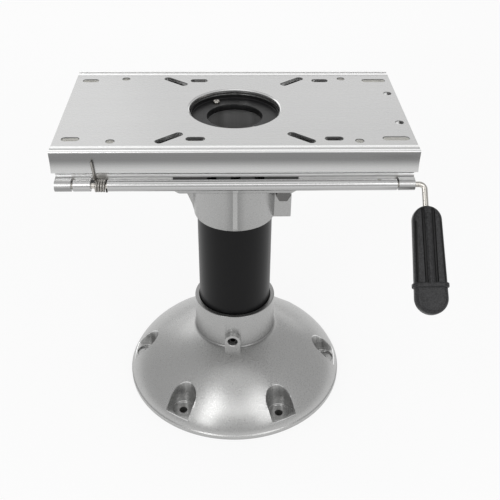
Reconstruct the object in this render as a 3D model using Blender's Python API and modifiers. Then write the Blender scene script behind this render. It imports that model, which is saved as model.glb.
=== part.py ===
"""Boat seat pedestal: fixed height, with a swivel and a locking fore-and-aft seat slide.

Metres, +Z up. The origin is on the column's axis at the underside of the base, +X points
to the end of the slide that carries the release lever, and -Y is the side of the lock bar.
"""
import math

import bmesh
import bpy
from mathutils import Vector

MM = 0.001

# Sides of round shapes
DOME_SIDES = 48
CAVITY_SIDES = 30
DOME_ROWS = 9
CAVITY_ROWS = 4
HOLE_SIDES = 12
ROUND_SIDES = 36
SMALL_SIDES = 12

# Running and seating clearances
SEAT_GAP = 0.3 * MM            # between pieces that rest on or in each other
BORE_GAP = 0.3 * MM            # radial, round a pin or a screw in its hole
SCREW_CHAMFER = 0.6 * MM
PLATE_CLEARANCE = 1.5 * MM     # between the hub's top and the seat plate

# Base casting
BASE_DIAMETER = 228.6 * MM
RIM_HEIGHT = 5.0 * MM
RIM_STEP = 1.0 * MM
DOME_RISE = 54.0 * MM
DOME_SWELL = 1.257             # exponents of the dome's outline
DOME_SHOULDER = 0.703
CASTING_WALL = 5.0 * MM
RIB_THICKNESS = 5.0 * MM
RIB_LIFT = 2.0 * MM            # how far the ribs stay above the deck
BASE_TURN = math.radians(-3.3)
SOCKET_WALL = 4.7 * MM
SOCKET_HEIGHT = 99.5 * MM
SOCKET_FLOOR = 5.0 * MM
SOCKET_CHAMFER = 0.7 * MM
SOCKET_FILLET = 3.5 * MM

# Deck screw pockets in the base
POCKET_COUNT = 6
POCKET_CIRCLE = 196.0 * MM     # diameter on which the deck holes lie
POCKET_WIDTH = 27.5 * MM
POCKET_FLOOR = 12.5 * MM
POCKET_WALL = 3.2 * MM
SPOTFACE_DIAMETER = 21.0 * MM
SPOTFACE_DEPTH = 2.0 * MM
DECK_HOLE = 8.3 * MM

# Set screw that holds the column in its socket
BOSS_WIDTH = 16.3 * MM
BOSS_REACH = 6.6 * MM          # beyond the socket's outside
BOSS_HEIGHT = 72.0 * MM
SET_SCREW_DIAMETER = 9.5 * MM
SET_SCREW_LENGTH = 7.6 * MM
SET_SCREW_KEY = 4.8 * MM       # across the flats of its socket

# Column
COLUMN_DIAMETER = 73.0 * MM
COLUMN_WALL = 6.35 * MM
COLUMN_LENGTH = 290.7 * MM

# Swivel bearing, from the column's top down
RING_THICKNESS = 5.2 * MM
RING_OVERHANG = 4.0 * MM       # beyond the column's outside
RING_RIM = 1.4 * MM            # wall that stands up round the ring
RING_RIM_HEIGHT = 3.2 * MM
RING_BORE = 49.4 * MM
RING_CHAMFER = 0.6 * MM
RING_SCREW_HEAD = 6.6 * MM
RING_SCREW_SHANK = 3.4 * MM
RING_SCREW_LENGTH = 12.0 * MM
RING_SCREW_ANGLES = (120.0, 300.0)
WEAR_WASHER = 3.4 * MM
WASHER_OVERHANG = 4.0 * MM
LAND_LENGTH = 22.0 * MM
THRUST_WASHER = 3.4 * MM
THRUST_RING = 3.0 * MM
GROOVE_DEPTH = 1.5 * MM
BUSHING_WALL = 1.0 * MM
BUSHING_INSET = 0.7 * MM       # above the collar's lower edge

# Swivel housing
COLLAR_DIAMETER = 79.0 * MM
COLLAR_LENGTH = 59.2 * MM
COLLAR_DRAFT = 0.9 * MM        # growth of the radius up to the flange
COLLAR_CHAMFER = 0.9 * MM
FLANGE_THICKNESS = 12.0 * MM
FLANGE_LENGTH = 128.0 * MM     # along X
FLANGE_WIDTH = 140.0 * MM      # along Y
FLANGE_CORNER = 15.0 * MM
FLANGE_EDGE = 1.6 * MM
HUB_WALL = 6.0 * MM
GUSSET_THICKNESS = 4.4 * MM
GUSSET_FOOT = 0.8 * MM         # above the collar's lower edge
GUSSET_KINK = (1.8 * MM, 7.6 * MM)   # out from the collar, up from the foot
GUSSET_INSET = 3.0 * MM        # from the flange's edge
RIB_FOOT = 3.5 * MM            # the straight ribs, above the collar's lower edge
RIB_REACH = 3.6 * MM           # out from the collar
LUG_THICKNESS = 11.0 * MM
LUG_REACH = 54.0 * MM          # from the column's axis
LUG_SLIT = 2.0 * MM
LUG_DROP = 1.0 * MM            # below the collar's lower edge
LUG_EDGE = 0.8 * MM
SLIT_LENGTH = 48.0 * MM
CLAMP_BOLT = 8.0 * MM
CLAMP_BOLT_HEAD = 13.0 * MM    # across the flats
CLAMP_HEAD_HEIGHT = 5.3 * MM
CLAMP_WASHER_DIAMETER = 15.0 * MM
CLAMP_WASHER = 1.4 * MM
CLAMP_NUT = 6.5 * MM
CLAMP_BOLT_DROP = 32.0 * MM    # below the flange
CLAMP_BOLT_SET = 6.2 * MM      # from the collar's wall to the bolt's centre

# Seat plate, an extrusion that wraps the track
PLATE_LENGTH = 302.0 * MM
PLATE_WIDTH = 171.0 * MM
PLATE_THICKNESS = 3.5 * MM
RING_RECESS = 8.5 * MM         # from the plate's top down to the black ring
SKIRT_HEIGHT = 20.0 * MM
SKIRT_WALL = 3.0 * MM
SKIRT_HOLLOW = 0.7 * MM
HOLLOW_ROWS = 6
PLATE_NOSE = 1.2 * MM          # rounding of the plate's outer edge
LIP_WIDTH = 6.5 * MM
LIP_THICKNESS = 3.0 * MM
RIDGE_START = 12.0 * MM        # from the plate's side in to the ridge
RIDGE_WIDTH = 7.0 * MM
RIDGE_HEIGHT = 0.5 * MM
RIDGE_ROWS = 4
GROOVE_WIDTH = 1.0 * MM
CENTRE_HOLE = 81.6 * MM

# Holes for the seat: rows and columns, and the x and length of each slot
SLOT_WIDTH = 6.6 * MM
SLOT_ROW = 61.5 * MM
HOLE_ROW = 65.7 * MM
HOLE_COLUMN = 103.6 * MM
HOLE_DIAMETER = 6.8 * MM
LEFT_SLOT = (-137.0 * MM, 14.4 * MM)
RIGHT_SLOT = (134.8 * MM, 21.9 * MM)
INNER_LEFT_SLOT = (-33.4 * MM, 15.6 * MM)
INNER_RIGHT_SLOT = (82.7 * MM, 15.0 * MM)
DIAGONAL_SLOT = (55.5 * MM, 59.5 * MM, 26.8 * MM)
DIAGONAL_TURN = math.radians(40.0)
END_HOLES = (143.3 * MM, 31.0 * MM)

# Track, the fixed lower extrusion
TRACK_LENGTH = 295.4 * MM
TRACK_HEIGHT = 29.2 * MM
TRACK_WEB = 3.5 * MM
TRACK_WALL = 3.5 * MM
TRACK_WALL_CLEARANCE = 2.5 * MM   # between the wall and the plate's lip
RAIL_THICKNESS = 3.5 * MM
RAIL_INNER = 57.0 * MM            # from the middle to the rail's inner edge
RAIL_TAPER = 0.4 * MM             # how much thinner the rail is at its edges
LEDGE_THICKNESS = 2.5 * MM
LEDGE_GAP = 3.5 * MM              # under the plate's skirt
FASCIA_THICKNESS = 3.0 * MM
FASCIA_GAP = 0.8 * MM             # under the plate's skirt
FASCIA_WINDOW = 0.5 * MM          # how far the window reaches above the ledge
TRACK_BOLT_INSET = (17.0 * MM, 19.0 * MM)   # from the flange's edges
TRACK_BOLT = 8.0 * MM
TRACK_BOLT_HEAD = 14.0 * MM
TRACK_BOLT_LENGTH = 13.0 * MM

# Glides between the track and the plate
GLIDE_LEAF = 3.4 * MM
GLIDE_SIDE = 1.9 * MM
GLIDE_LENGTH = 58.0 * MM
GLIDE_PEG = 5.6 * MM
GLIDE_PEG_INSET = 7.0 * MM

# End stops under the plate
SLIDE_TRAVEL = 75.0 * MM       # each way
STOP_LENGTH = 12.0 * MM
STOP_WIDTH = 30.0 * MM
STOP_HEIGHT = 9.0 * MM
STOP_EDGE = 1.0 * MM
STOP_SCREW = 5.0 * MM
STOP_SCREW_HEAD = 9.5 * MM
STOP_SCREW_BITE = 2.4 * MM     # depth in the plate

# Lock bar, its knuckles and the rod
BAR_DIAMETER = 9.5 * MM
BAR_OFFSET = 5.8 * MM          # from the plate's side out to the bar's axis
BAR_DROP = 7.75 * MM           # from the plate's skirt down to the bar's axis
ROD_DIAMETER = 4.8 * MM
KNUCKLE_LENGTH = 13.4 * MM
BAR_END_GAP = 1.5 * MM
BAR_SPACE_CUT = 0.2 * MM       # how deep the space for the bar goes into the fascia
SPACER_LENGTH = 14.5 * MM
BAR_FLANGE = 2.6 * MM
BAR_FLANGE_LIFT = 0.1 * MM     # of the flange above the tube's lowest line
TOOTH_WIDTH = 8.0 * MM
TOOTH_THICKNESS = 2.5 * MM
TOOTH_PITCH = 20.0 * MM
TOOTH_EDGE = 0.5 * MM
TOOTH_COUNT = 3
TOOTH_SET_BACK = 4.7 * MM      # from the plate's side in to the tooth
TOOTH_SHORT = 0.4 * MM         # how far the teeth stand below the notches
NOTCH_WIDTH = 9.0 * MM
NOTCH_COUNT = 13
LOCK_SLOT = 104.0 * MM
ROD_PIN = 2.4 * MM
PIN_CHAMFER = 0.2 * MM
ROD_PIN_INSET = 29.7 * MM      # from the track's end

# Torsion spring
SPRING_WIRE = 1.8 * MM
SPRING_DIAMETER = 11.7 * MM
SPRING_TURNS = 4
SPRING_LENGTH = 8.8 * MM
SPRING_LEG = 19.0 * MM
SPRING_HOOK = 7.0 * MM

# Release lever
LEVER_SIDE = 8.4 * MM          # from the track's end out to the lever
LEVER_DROP = math.radians(43.5)
ROD_BEND = 4.6 * MM
GRIP_START = 19.0 * MM         # from the rod's axis
GRIP_LENGTH = 89.6 * MM
GRIP_TOP_WIDTH = 24.0 * MM
GRIP_END_WIDTH = 27.0 * MM
GRIP_THICKNESS = 12.5 * MM
GRIP_EDGE = 4.2 * MM
GRIP_BAND_PLACE = 66.0 * MM    # from the grip's top to the band's middle
GRIP_BAND_HEIGHT = 4.2 * MM
GRIP_BAND_PROUD = 1.5 * MM
GRIP_RIB = 5.8 * MM
GRIP_RIB_PROUD = 1.3 * MM
GRIP_FLUTE = 3.0 * MM
GRIP_BORE_DEPTH = 60.0 * MM

# Heights, from the deck up
column_top = SOCKET_FLOOR + SEAT_GAP + COLUMN_LENGTH
ring_top = column_top + SEAT_GAP + RING_THICKNESS
plate_top = ring_top + RING_RECESS
plate_under = plate_top - PLATE_THICKNESS
rail_top = plate_under - 2 * SEAT_GAP - GLIDE_LEAF
rail_under = rail_top - RAIL_THICKNESS
track_bottom = rail_top - TRACK_HEIGHT
flange_top = track_bottom - SEAT_GAP
flange_bottom = flange_top - FLANGE_THICKNESS
collar_bottom = flange_bottom - COLLAR_LENGTH
hub_top = plate_under - PLATE_CLEARANCE
land_top = column_top - 2 * SEAT_GAP - WEAR_WASHER
land_bottom = land_top - LAND_LENGTH
thrust_ring_top = land_bottom - 2 * SEAT_GAP - THRUST_WASHER
skirt_bottom = plate_top - SKIRT_HEIGHT
lip_top = skirt_bottom + LIP_THICKNESS
ledge_top = skirt_bottom - LEDGE_GAP
ledge_under = ledge_top - LEDGE_THICKNESS

# Radii
column_radius = COLUMN_DIAMETER / 2
socket_bore = column_radius + SEAT_GAP
socket_radius = socket_bore + SOCKET_WALL
bushing_radius = column_radius + SEAT_GAP + BUSHING_WALL
collar_bore = bushing_radius + SEAT_GAP
collar_radius = COLLAR_DIAMETER / 2
ring_radius = column_radius + RING_OVERHANG
washer_radius = column_radius + WASHER_OVERHANG
hub_bore = washer_radius + 2 * SEAT_GAP
hub_radius = hub_bore + HUB_WALL

# Places across the slide, measured from its middle
side = PLATE_WIDTH / 2
skirt_inside = side - SKIRT_WALL
lip_inside = skirt_inside - LIP_WIDTH
wall_outside = lip_inside - TRACK_WALL_CLEARANCE
rail_outer = skirt_inside - 2 * SEAT_GAP - GLIDE_SIDE
bar_radius = BAR_DIAMETER / 2
rod_radius = ROD_DIAMETER / 2
bar_y = -(side + BAR_OFFSET)
bar_z = skirt_bottom - BAR_DROP
ledge_front = bar_y + bar_radius + SEAT_GAP
fascia_top = skirt_bottom - FASCIA_GAP
fascia_back = ledge_front + FASCIA_THICKNESS
pin_x = TRACK_LENGTH / 2 - ROD_PIN_INSET
track_bolt_place = (FLANGE_LENGTH / 2 - TRACK_BOLT_INSET[0], FLANGE_WIDTH / 2 - TRACK_BOLT_INSET[1])

part = bpy.data.collections.new("boat_seat_pedestal")
cutters = bpy.data.collections.new("cutters")


def clear_scene():
    """Start from an empty scene that holds the two collections."""
    for obj in list(bpy.data.objects):
        bpy.data.objects.remove(obj, do_unlink=True)
    bpy.context.scene.collection.children.link(part)
    bpy.context.scene.collection.children.link(cutters)


def finish(name, colour, roughness, metallic):
    """A Principled material for one piece."""
    material = bpy.data.materials.new(name)
    material.use_nodes = True
    shader = material.node_tree.nodes["Principled BSDF"]
    shader.inputs["Base Color"].default_value = (*colour, 1.0)
    shader.inputs["Roughness"].default_value = roughness
    shader.inputs["Metallic"].default_value = metallic
    return material


ANODISED = ((0.72, 0.72, 0.71), 0.32, 0.9)
CAST_SILVER = ((0.52, 0.52, 0.51), 0.42, 0.7)
BLACK_TUBE = ((0.028, 0.028, 0.032), 0.4, 0.2)
BLACK_PLASTIC = ((0.05, 0.05, 0.052), 0.55, 0.0)
BRIGHT_STEEL = ((0.62, 0.59, 0.54), 0.25, 1.0)
DARK_STEEL = ((0.05, 0.05, 0.05), 0.4, 0.9)
NATURAL_NYLON = ((0.82, 0.81, 0.76), 0.5, 0.0)


def place(obj, look, location=(0, 0, 0), rotation=(0, 0, 0), parent=None):
    """Give a piece its material, place and parent, and put it in the part's collection."""
    obj.data.materials.clear()
    obj.data.materials.append(finish(obj.name, *look))
    obj.location = location
    obj.rotation_euler = rotation
    obj.parent = parent
    part.objects.link(obj)
    return obj


def as_cutter(obj, location=(0, 0, 0), rotation=(0, 0, 0), parent=None):
    """Put a shape in the cutters' collection, where it only cuts or joins."""
    obj.location = location
    obj.rotation_euler = rotation
    obj.parent = parent
    obj.hide_render = True
    obj.display_type = "WIRE"
    cutters.objects.link(obj)
    return obj


def combine(obj, tool, operation):
    """Cut a shape from a piece, or join one to it."""
    step = obj.modifiers.new(tool.name, "BOOLEAN")
    step.object = tool
    step.operation = operation
    step.solver = "EXACT"


def cut(obj, *tools):
    for tool in tools:
        combine(obj, tool, "DIFFERENCE")


def join(obj, *tools):
    for tool in tools:
        combine(obj, tool, "UNION")


def smooth(mesh, angle=35.0):
    """Smooth round faces and keep the edges sharp."""
    mesh.shade_smooth()
    mesh.set_sharp_from_angle(angle=math.radians(angle))


def turned(name, profile, steps=ROUND_SIDES, closed=False):
    """A shape turned about Z. The profile runs down its outer side."""
    mesh = bpy.data.meshes.new(name)
    edges = [(i, i + 1) for i in range(len(profile) - 1)]
    if closed:
        edges.append((len(profile) - 1, 0))
    mesh.from_pydata([(radius, 0, height) for radius, height in profile], edges, [])
    obj = bpy.data.objects.new(name, mesh)
    screw = obj.modifiers.new("turn", "SCREW")
    screw.steps = steps
    screw.render_steps = steps
    screw.use_merge_vertices = True
    screw.merge_threshold = 0.00001
    screw.use_smooth_shade = True
    return obj


def ring(name, inner, outer, bottom, top, steps=ROUND_SIDES):
    """A plain ring or tube."""
    profile = [(outer, top), (outer, bottom), (inner, bottom), (inner, top)]
    return turned(name, profile, steps, closed=True)


def rod(name, radius, length, sides=SMALL_SIDES, chamfer=0.0):
    """A cylinder along Z, standing on its own origin."""
    profile = [(0, length), (radius - chamfer, length)]
    if chamfer:
        profile.append((radius, length - chamfer))
        profile.append((radius, chamfer))
    profile += [(radius - chamfer, 0), (0, 0)]
    return turned(name, profile, sides)


def block(name, low, high):
    """A box between two corners."""
    low, high = Vector(low), Vector(high)
    mesh = bpy.data.meshes.new(name)
    shape = bmesh.new()
    bmesh.ops.create_cube(shape, size=1.0)
    bmesh.ops.scale(shape, vec=high - low, verts=shape.verts)
    bmesh.ops.translate(shape, vec=(low + high) / 2, verts=shape.verts)
    shape.to_mesh(mesh)
    shape.free()
    return bpy.data.objects.new(name, mesh)


def solid_of(curve_object):
    """Make a closed mesh object of a curve object, in its place."""
    bpy.context.scene.collection.objects.link(curve_object)
    bpy.context.view_layer.update()
    evaluated = curve_object.evaluated_get(bpy.context.evaluated_depsgraph_get())
    mesh = bpy.data.meshes.new_from_object(evaluated)
    shape = bmesh.new()
    shape.from_mesh(mesh)
    bmesh.ops.remove_doubles(shape, verts=shape.verts, dist=0.000005)
    bmesh.ops.recalc_face_normals(shape, faces=shape.faces)
    shape.to_mesh(mesh)
    shape.free()
    name = curve_object.name
    matrix = curve_object.matrix_world.copy()
    bpy.data.objects.remove(curve_object)
    mesh.name = name
    obj = bpy.data.objects.new(name, mesh)
    obj.matrix_world = matrix
    return obj


def prism(name, outlines, thickness):
    """Flat outlines in the XY plane, given a thickness about Z = 0."""
    curve = bpy.data.curves.new(name, "CURVE")
    curve.dimensions = "2D"
    curve.fill_mode = "BOTH"
    curve.extrude = thickness / 2
    for outline in outlines:
        spline = curve.splines.new("POLY")
        spline.points.add(len(outline) - 1)
        for point, (x, y) in zip(spline.points, outline):
            point.co = (x, y, 0, 1)
        spline.use_cyclic_u = True
    return solid_of(bpy.data.objects.new(name, curve))


ALONG_X = (math.radians(90), 0, math.radians(90))   # an outline's x, y become Y, Z
ALONG_Y = (math.radians(90), 0, 0)                  # an outline's x, y become X, Z


def arc(centre, radius, start, end, steps):
    """Points round a centre, from one angle in degrees to another."""
    points = []
    for i in range(steps + 1):
        angle = math.radians(start + (end - start) * i / steps)
        points.append((centre[0] + radius * math.cos(angle), centre[1] + radius * math.sin(angle)))
    return points


def slot_outline(x, y, length, width, turn=0.0, steps=4):
    """A slot with round ends."""
    reach = max(length - width, 0) / 2
    points = arc((reach, 0), width / 2, -90, 90, steps) + arc((-reach, 0), width / 2, 90, 270, steps)
    if not reach:
        points = circle((0, 0), width / 2)
    return [(x + a, y + b) for a, b in swung(points, turn)]


def circle(centre, radius, sides=HOLE_SIDES):
    return arc(centre, radius, 0, 360 * (sides - 1) / sides, sides - 1)


def swung(outline, turn):
    """An outline turned round the origin."""
    cosine, sine = math.cos(turn), math.sin(turn)
    return [(x * cosine - y * sine, x * sine + y * cosine) for x, y in outline]


def hexagon(across_flats):
    return arc((0, 0), across_flats / math.sqrt(3), 0, 300, 5)


def button_screw(name, shank, length, head, key, head_height=None):
    """A screw with a domed head and a hexagon socket, along Z, its head's seat at Z = 0."""
    rise = head_height or head * 0.33
    profile = [(0, rise), (head * 0.28, rise)]
    profile += [(head / 2 * 0.82, rise * 0.72), (head / 2, 0)]
    profile += [(shank / 2, 0), (shank / 2, -length), (0, -length)]
    obj = turned(name, profile, SMALL_SIDES)
    socket = prism(name + "_socket", [hexagon(key)], rise * 1.2)
    as_cutter(socket, (0, 0, rise), parent=obj)
    cut(obj, socket)
    return obj


def dome_height(radius):
    """Height of the dome's outside at a radius, from the rim up to the socket."""
    outer = BASE_DIAMETER / 2 - RIM_STEP
    share = min(max((radius - socket_radius) / (outer - socket_radius), 0.0), 1.0)
    return RIM_HEIGHT + RIM_STEP + DOME_RISE * (1 - share ** DOME_SWELL) ** DOME_SHOULDER


def dome_points(first, last, count, sink=0.0):
    """Points down the dome, closer together near the rim, where it turns down fastest."""
    points = []
    for i in range(count + 1):
        share = 1 - (1 - i / count) ** 1.6
        radius = first + (last - first) * share
        points.append((radius, dome_height(radius) - sink))
    return points


def pocket_outline(grow, reach):
    """The arch of a deck screw pocket, open outwards, in the plane of the deck."""
    centre = POCKET_CIRCLE / 2
    half = POCKET_WIDTH / 2 + grow
    return [(reach, -half), (reach, half)] + arc((centre, 0), half, 90, 270, 7)


def base_casting():
    """Domed foot with a socket for the column, six screw pockets and ribs underneath."""
    rim = BASE_DIAMETER / 2
    outer = rim - RIM_STEP
    profile = [(0, SOCKET_FLOOR), (socket_bore, SOCKET_FLOOR)]
    profile += [(socket_bore, SOCKET_HEIGHT - SOCKET_CHAMFER)]
    profile += [(socket_bore + SOCKET_CHAMFER, SOCKET_HEIGHT)]
    profile += [(socket_radius - SOCKET_CHAMFER, SOCKET_HEIGHT)]
    profile += [(socket_radius, SOCKET_HEIGHT - SOCKET_CHAMFER)]
    top = dome_height(socket_radius)
    profile += [(socket_radius, top + SOCKET_FILLET)]
    profile += [(socket_radius + SOCKET_FILLET * 0.3, top + SOCKET_FILLET * 0.3)]
    profile += dome_points(socket_radius + SOCKET_FILLET, outer, DOME_ROWS)
    profile += [(rim, RIM_HEIGHT), (rim, RIM_STEP), (outer, 0), (0, 0)]
    casting = turned("base_casting", profile, DOME_SIDES)

    cavity_inner = socket_radius + RIM_STEP
    cavity_outer = outer - CASTING_WALL
    cavity_profile = dome_points(cavity_inner, cavity_outer, CAVITY_ROWS, CASTING_WALL)
    cavity_profile += [(cavity_outer, -CASTING_WALL), (cavity_inner, -CASTING_WALL)]
    cavity = as_cutter(turned("base_cavity", cavity_profile, CAVITY_SIDES, closed=True))
    cavity.modifiers["turn"].use_smooth_shade = False

    seats, pockets, holes, faces = [], [], [], []
    for i in range(POCKET_COUNT):
        turn = BASE_TURN + math.tau * i / POCKET_COUNT
        seats.append(swung(pocket_outline(POCKET_WALL, rim), turn))
        pockets.append(swung(pocket_outline(0, rim + POCKET_WIDTH), turn))
        centre = (POCKET_CIRCLE / 2 * math.cos(turn), POCKET_CIRCLE / 2 * math.sin(turn))
        holes.append(circle(centre, DECK_HOLE / 2))
        faces.append(circle(centre, SPOTFACE_DIAMETER / 2))
        middle = turn + math.pi / POCKET_COUNT
        rib = block(f"base_rib_{i + 1}", (socket_radius - RIM_STEP, -RIB_THICKNESS / 2, RIB_LIFT),
                    (outer, RIB_THICKNESS / 2, DOME_RISE + RIM_HEIGHT))
        cut(cavity, as_cutter(rib, rotation=(0, 0, middle)))
    tall = 2 * (DOME_RISE + RIM_HEIGHT)
    blocks = prism("pocket_blocks", seats, tall)
    cut(cavity, as_cutter(blocks))
    cut(casting, cavity)

    pocket = prism("pocket_cutter", pockets, tall)
    spot = prism("spotface_cutter", faces, tall)
    hole = prism("deck_hole_cutter", holes, tall)
    cut(casting, as_cutter(pocket, (0, 0, POCKET_FLOOR + tall / 2)))
    cut(casting, as_cutter(spot, (0, 0, POCKET_FLOOR - SPOTFACE_DEPTH + tall / 2)))
    cut(casting, as_cutter(hole))

    boss_turn = (0, 0, BASE_TURN - math.radians(90))
    half = BOSS_WIDTH / 2
    foot = -BOSS_HEIGHT + dome_height(socket_radius + BOSS_REACH) - CASTING_WALL / 2
    outline = [(half, foot), *arc((0, 0), half, 0, 180, 8), (-half, foot)]
    depth = BOSS_REACH + SOCKET_WALL / 2
    boss = prism("set_screw_boss", [outline], depth)
    middle = socket_radius + BOSS_REACH - depth / 2
    holder = bpy.data.objects.new("boss_side", None)
    holder.rotation_euler = boss_turn
    cutters.objects.link(holder)
    join(casting, as_cutter(boss, (middle, 0, BOSS_HEIGHT), ALONG_X, holder))
    drill = rod("set_screw_hole", SET_SCREW_DIAMETER / 2 + BORE_GAP, BOSS_REACH + 2 * SOCKET_WALL, 16)
    place_x = socket_bore - SOCKET_WALL / 2
    cut(casting, as_cutter(drill, (place_x, 0, BOSS_HEIGHT), (0, math.radians(90), 0), holder))
    return place(casting, CAST_SILVER)


def base_set_screw():
    """Cup point screw with a hexagon socket, sunk in its boss."""
    screw = rod("base_set_screw", SET_SCREW_DIAMETER / 2, SET_SCREW_LENGTH, 16, SCREW_CHAMFER)
    key = prism("set_screw_key", [hexagon(SET_SCREW_KEY)], SET_SCREW_LENGTH)
    cut(screw, as_cutter(key, (0, 0, SET_SCREW_LENGTH), parent=screw))
    turn = BASE_TURN - math.radians(90)
    start = column_radius + SEAT_GAP
    spot = (start * math.cos(turn), start * math.sin(turn), BOSS_HEIGHT)
    return place(screw, DARK_STEEL, spot, (0, math.radians(90), turn))


def column():
    """Black tube, grooved near the top for the ring that carries the swivel."""
    inner = column_radius - COLUMN_WALL
    bottom = SOCKET_FLOOR + SEAT_GAP
    groove_top = thrust_ring_top + SEAT_GAP
    groove_bottom = thrust_ring_top - THRUST_RING - SEAT_GAP
    waist = column_radius - GROOVE_DEPTH
    profile = [(column_radius, column_top), (column_radius, groove_top), (waist, groove_top)]
    profile += [(waist, groove_bottom), (column_radius, groove_bottom), (column_radius, bottom)]
    profile += [(inner, bottom), (inner, column_top)]
    tube = turned("column", profile, closed=True)
    middle = column_radius - COLUMN_WALL / 2
    for i, degrees in enumerate(RING_SCREW_ANGLES):
        angle = math.radians(degrees)
        tap = rod(f"ring_tap_{i + 1}", RING_SCREW_SHANK / 2 + BORE_GAP, RING_SCREW_LENGTH * 2, 12)
        spot = (middle * math.cos(angle), middle * math.sin(angle), column_top - RING_SCREW_LENGTH)
        cut(tube, as_cutter(tap, spot))
    return place(tube, BLACK_TUBE)


def swivel_bearing():
    """The pieces between the column and the housing, and the ring that keeps it on."""
    loose = column_radius + SEAT_GAP
    bushing = ring("swivel_bushing", loose, bushing_radius, collar_bottom + BUSHING_INSET,
                   thrust_ring_top - THRUST_RING - SEAT_GAP)
    place(bushing, NATURAL_NYLON)
    waist = column_radius - GROOVE_DEPTH + SEAT_GAP
    snap = ring("thrust_ring", waist, bushing_radius, thrust_ring_top - THRUST_RING, thrust_ring_top)
    place(snap, BRIGHT_STEEL)
    thrust = ring("thrust_washer", loose, bushing_radius, thrust_ring_top + SEAT_GAP,
                  land_bottom - SEAT_GAP)
    place(thrust, NATURAL_NYLON)
    wear = ring("wear_washer", loose, washer_radius, land_top + SEAT_GAP, column_top - SEAT_GAP)
    place(wear, NATURAL_NYLON)

    bottom = column_top + SEAT_GAP
    bore = RING_BORE / 2
    chamfer = RING_CHAMFER
    rim_top = ring_top + RING_RIM_HEIGHT
    rim = ring_radius - RING_RIM
    profile = [(rim, ring_top), (rim, rim_top), (ring_radius - chamfer, rim_top)]
    profile += [(ring_radius, rim_top - chamfer), (ring_radius, bottom), (bore, bottom)]
    profile += [(bore, ring_top - chamfer), (bore + chamfer, ring_top)]
    cap = turned("top_ring", profile, closed=True)
    middle = column_radius - COLUMN_WALL / 2
    for i, degrees in enumerate(RING_SCREW_ANGLES):
        angle = math.radians(degrees)
        x, y = middle * math.cos(angle), middle * math.sin(angle)
        bore_tool = rod(f"ring_hole_{i + 1}", RING_SCREW_SHANK / 2 + BORE_GAP, RING_THICKNESS * 3, 12)
        cut(cap, as_cutter(bore_tool, (x, y, bottom - RING_THICKNESS)))
        screw = button_screw(f"ring_screw_{i + 1}", RING_SCREW_SHANK, RING_SCREW_LENGTH,
                             RING_SCREW_HEAD, RING_SCREW_SHANK * 0.6)
        place(screw, BRIGHT_STEEL, (x, y, ring_top + SEAT_GAP))
    place(cap, BLACK_PLASTIC)


def corner_plate(length, width, corner):
    """A rectangle with its corners cut off."""
    x, y = length / 2, width / 2
    return [(x, -y + corner), (x, y - corner), (x - corner, y), (corner - x, y),
            (-x, y - corner), (-x, corner - y), (corner - x, -y), (x - corner, -y)]


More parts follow.
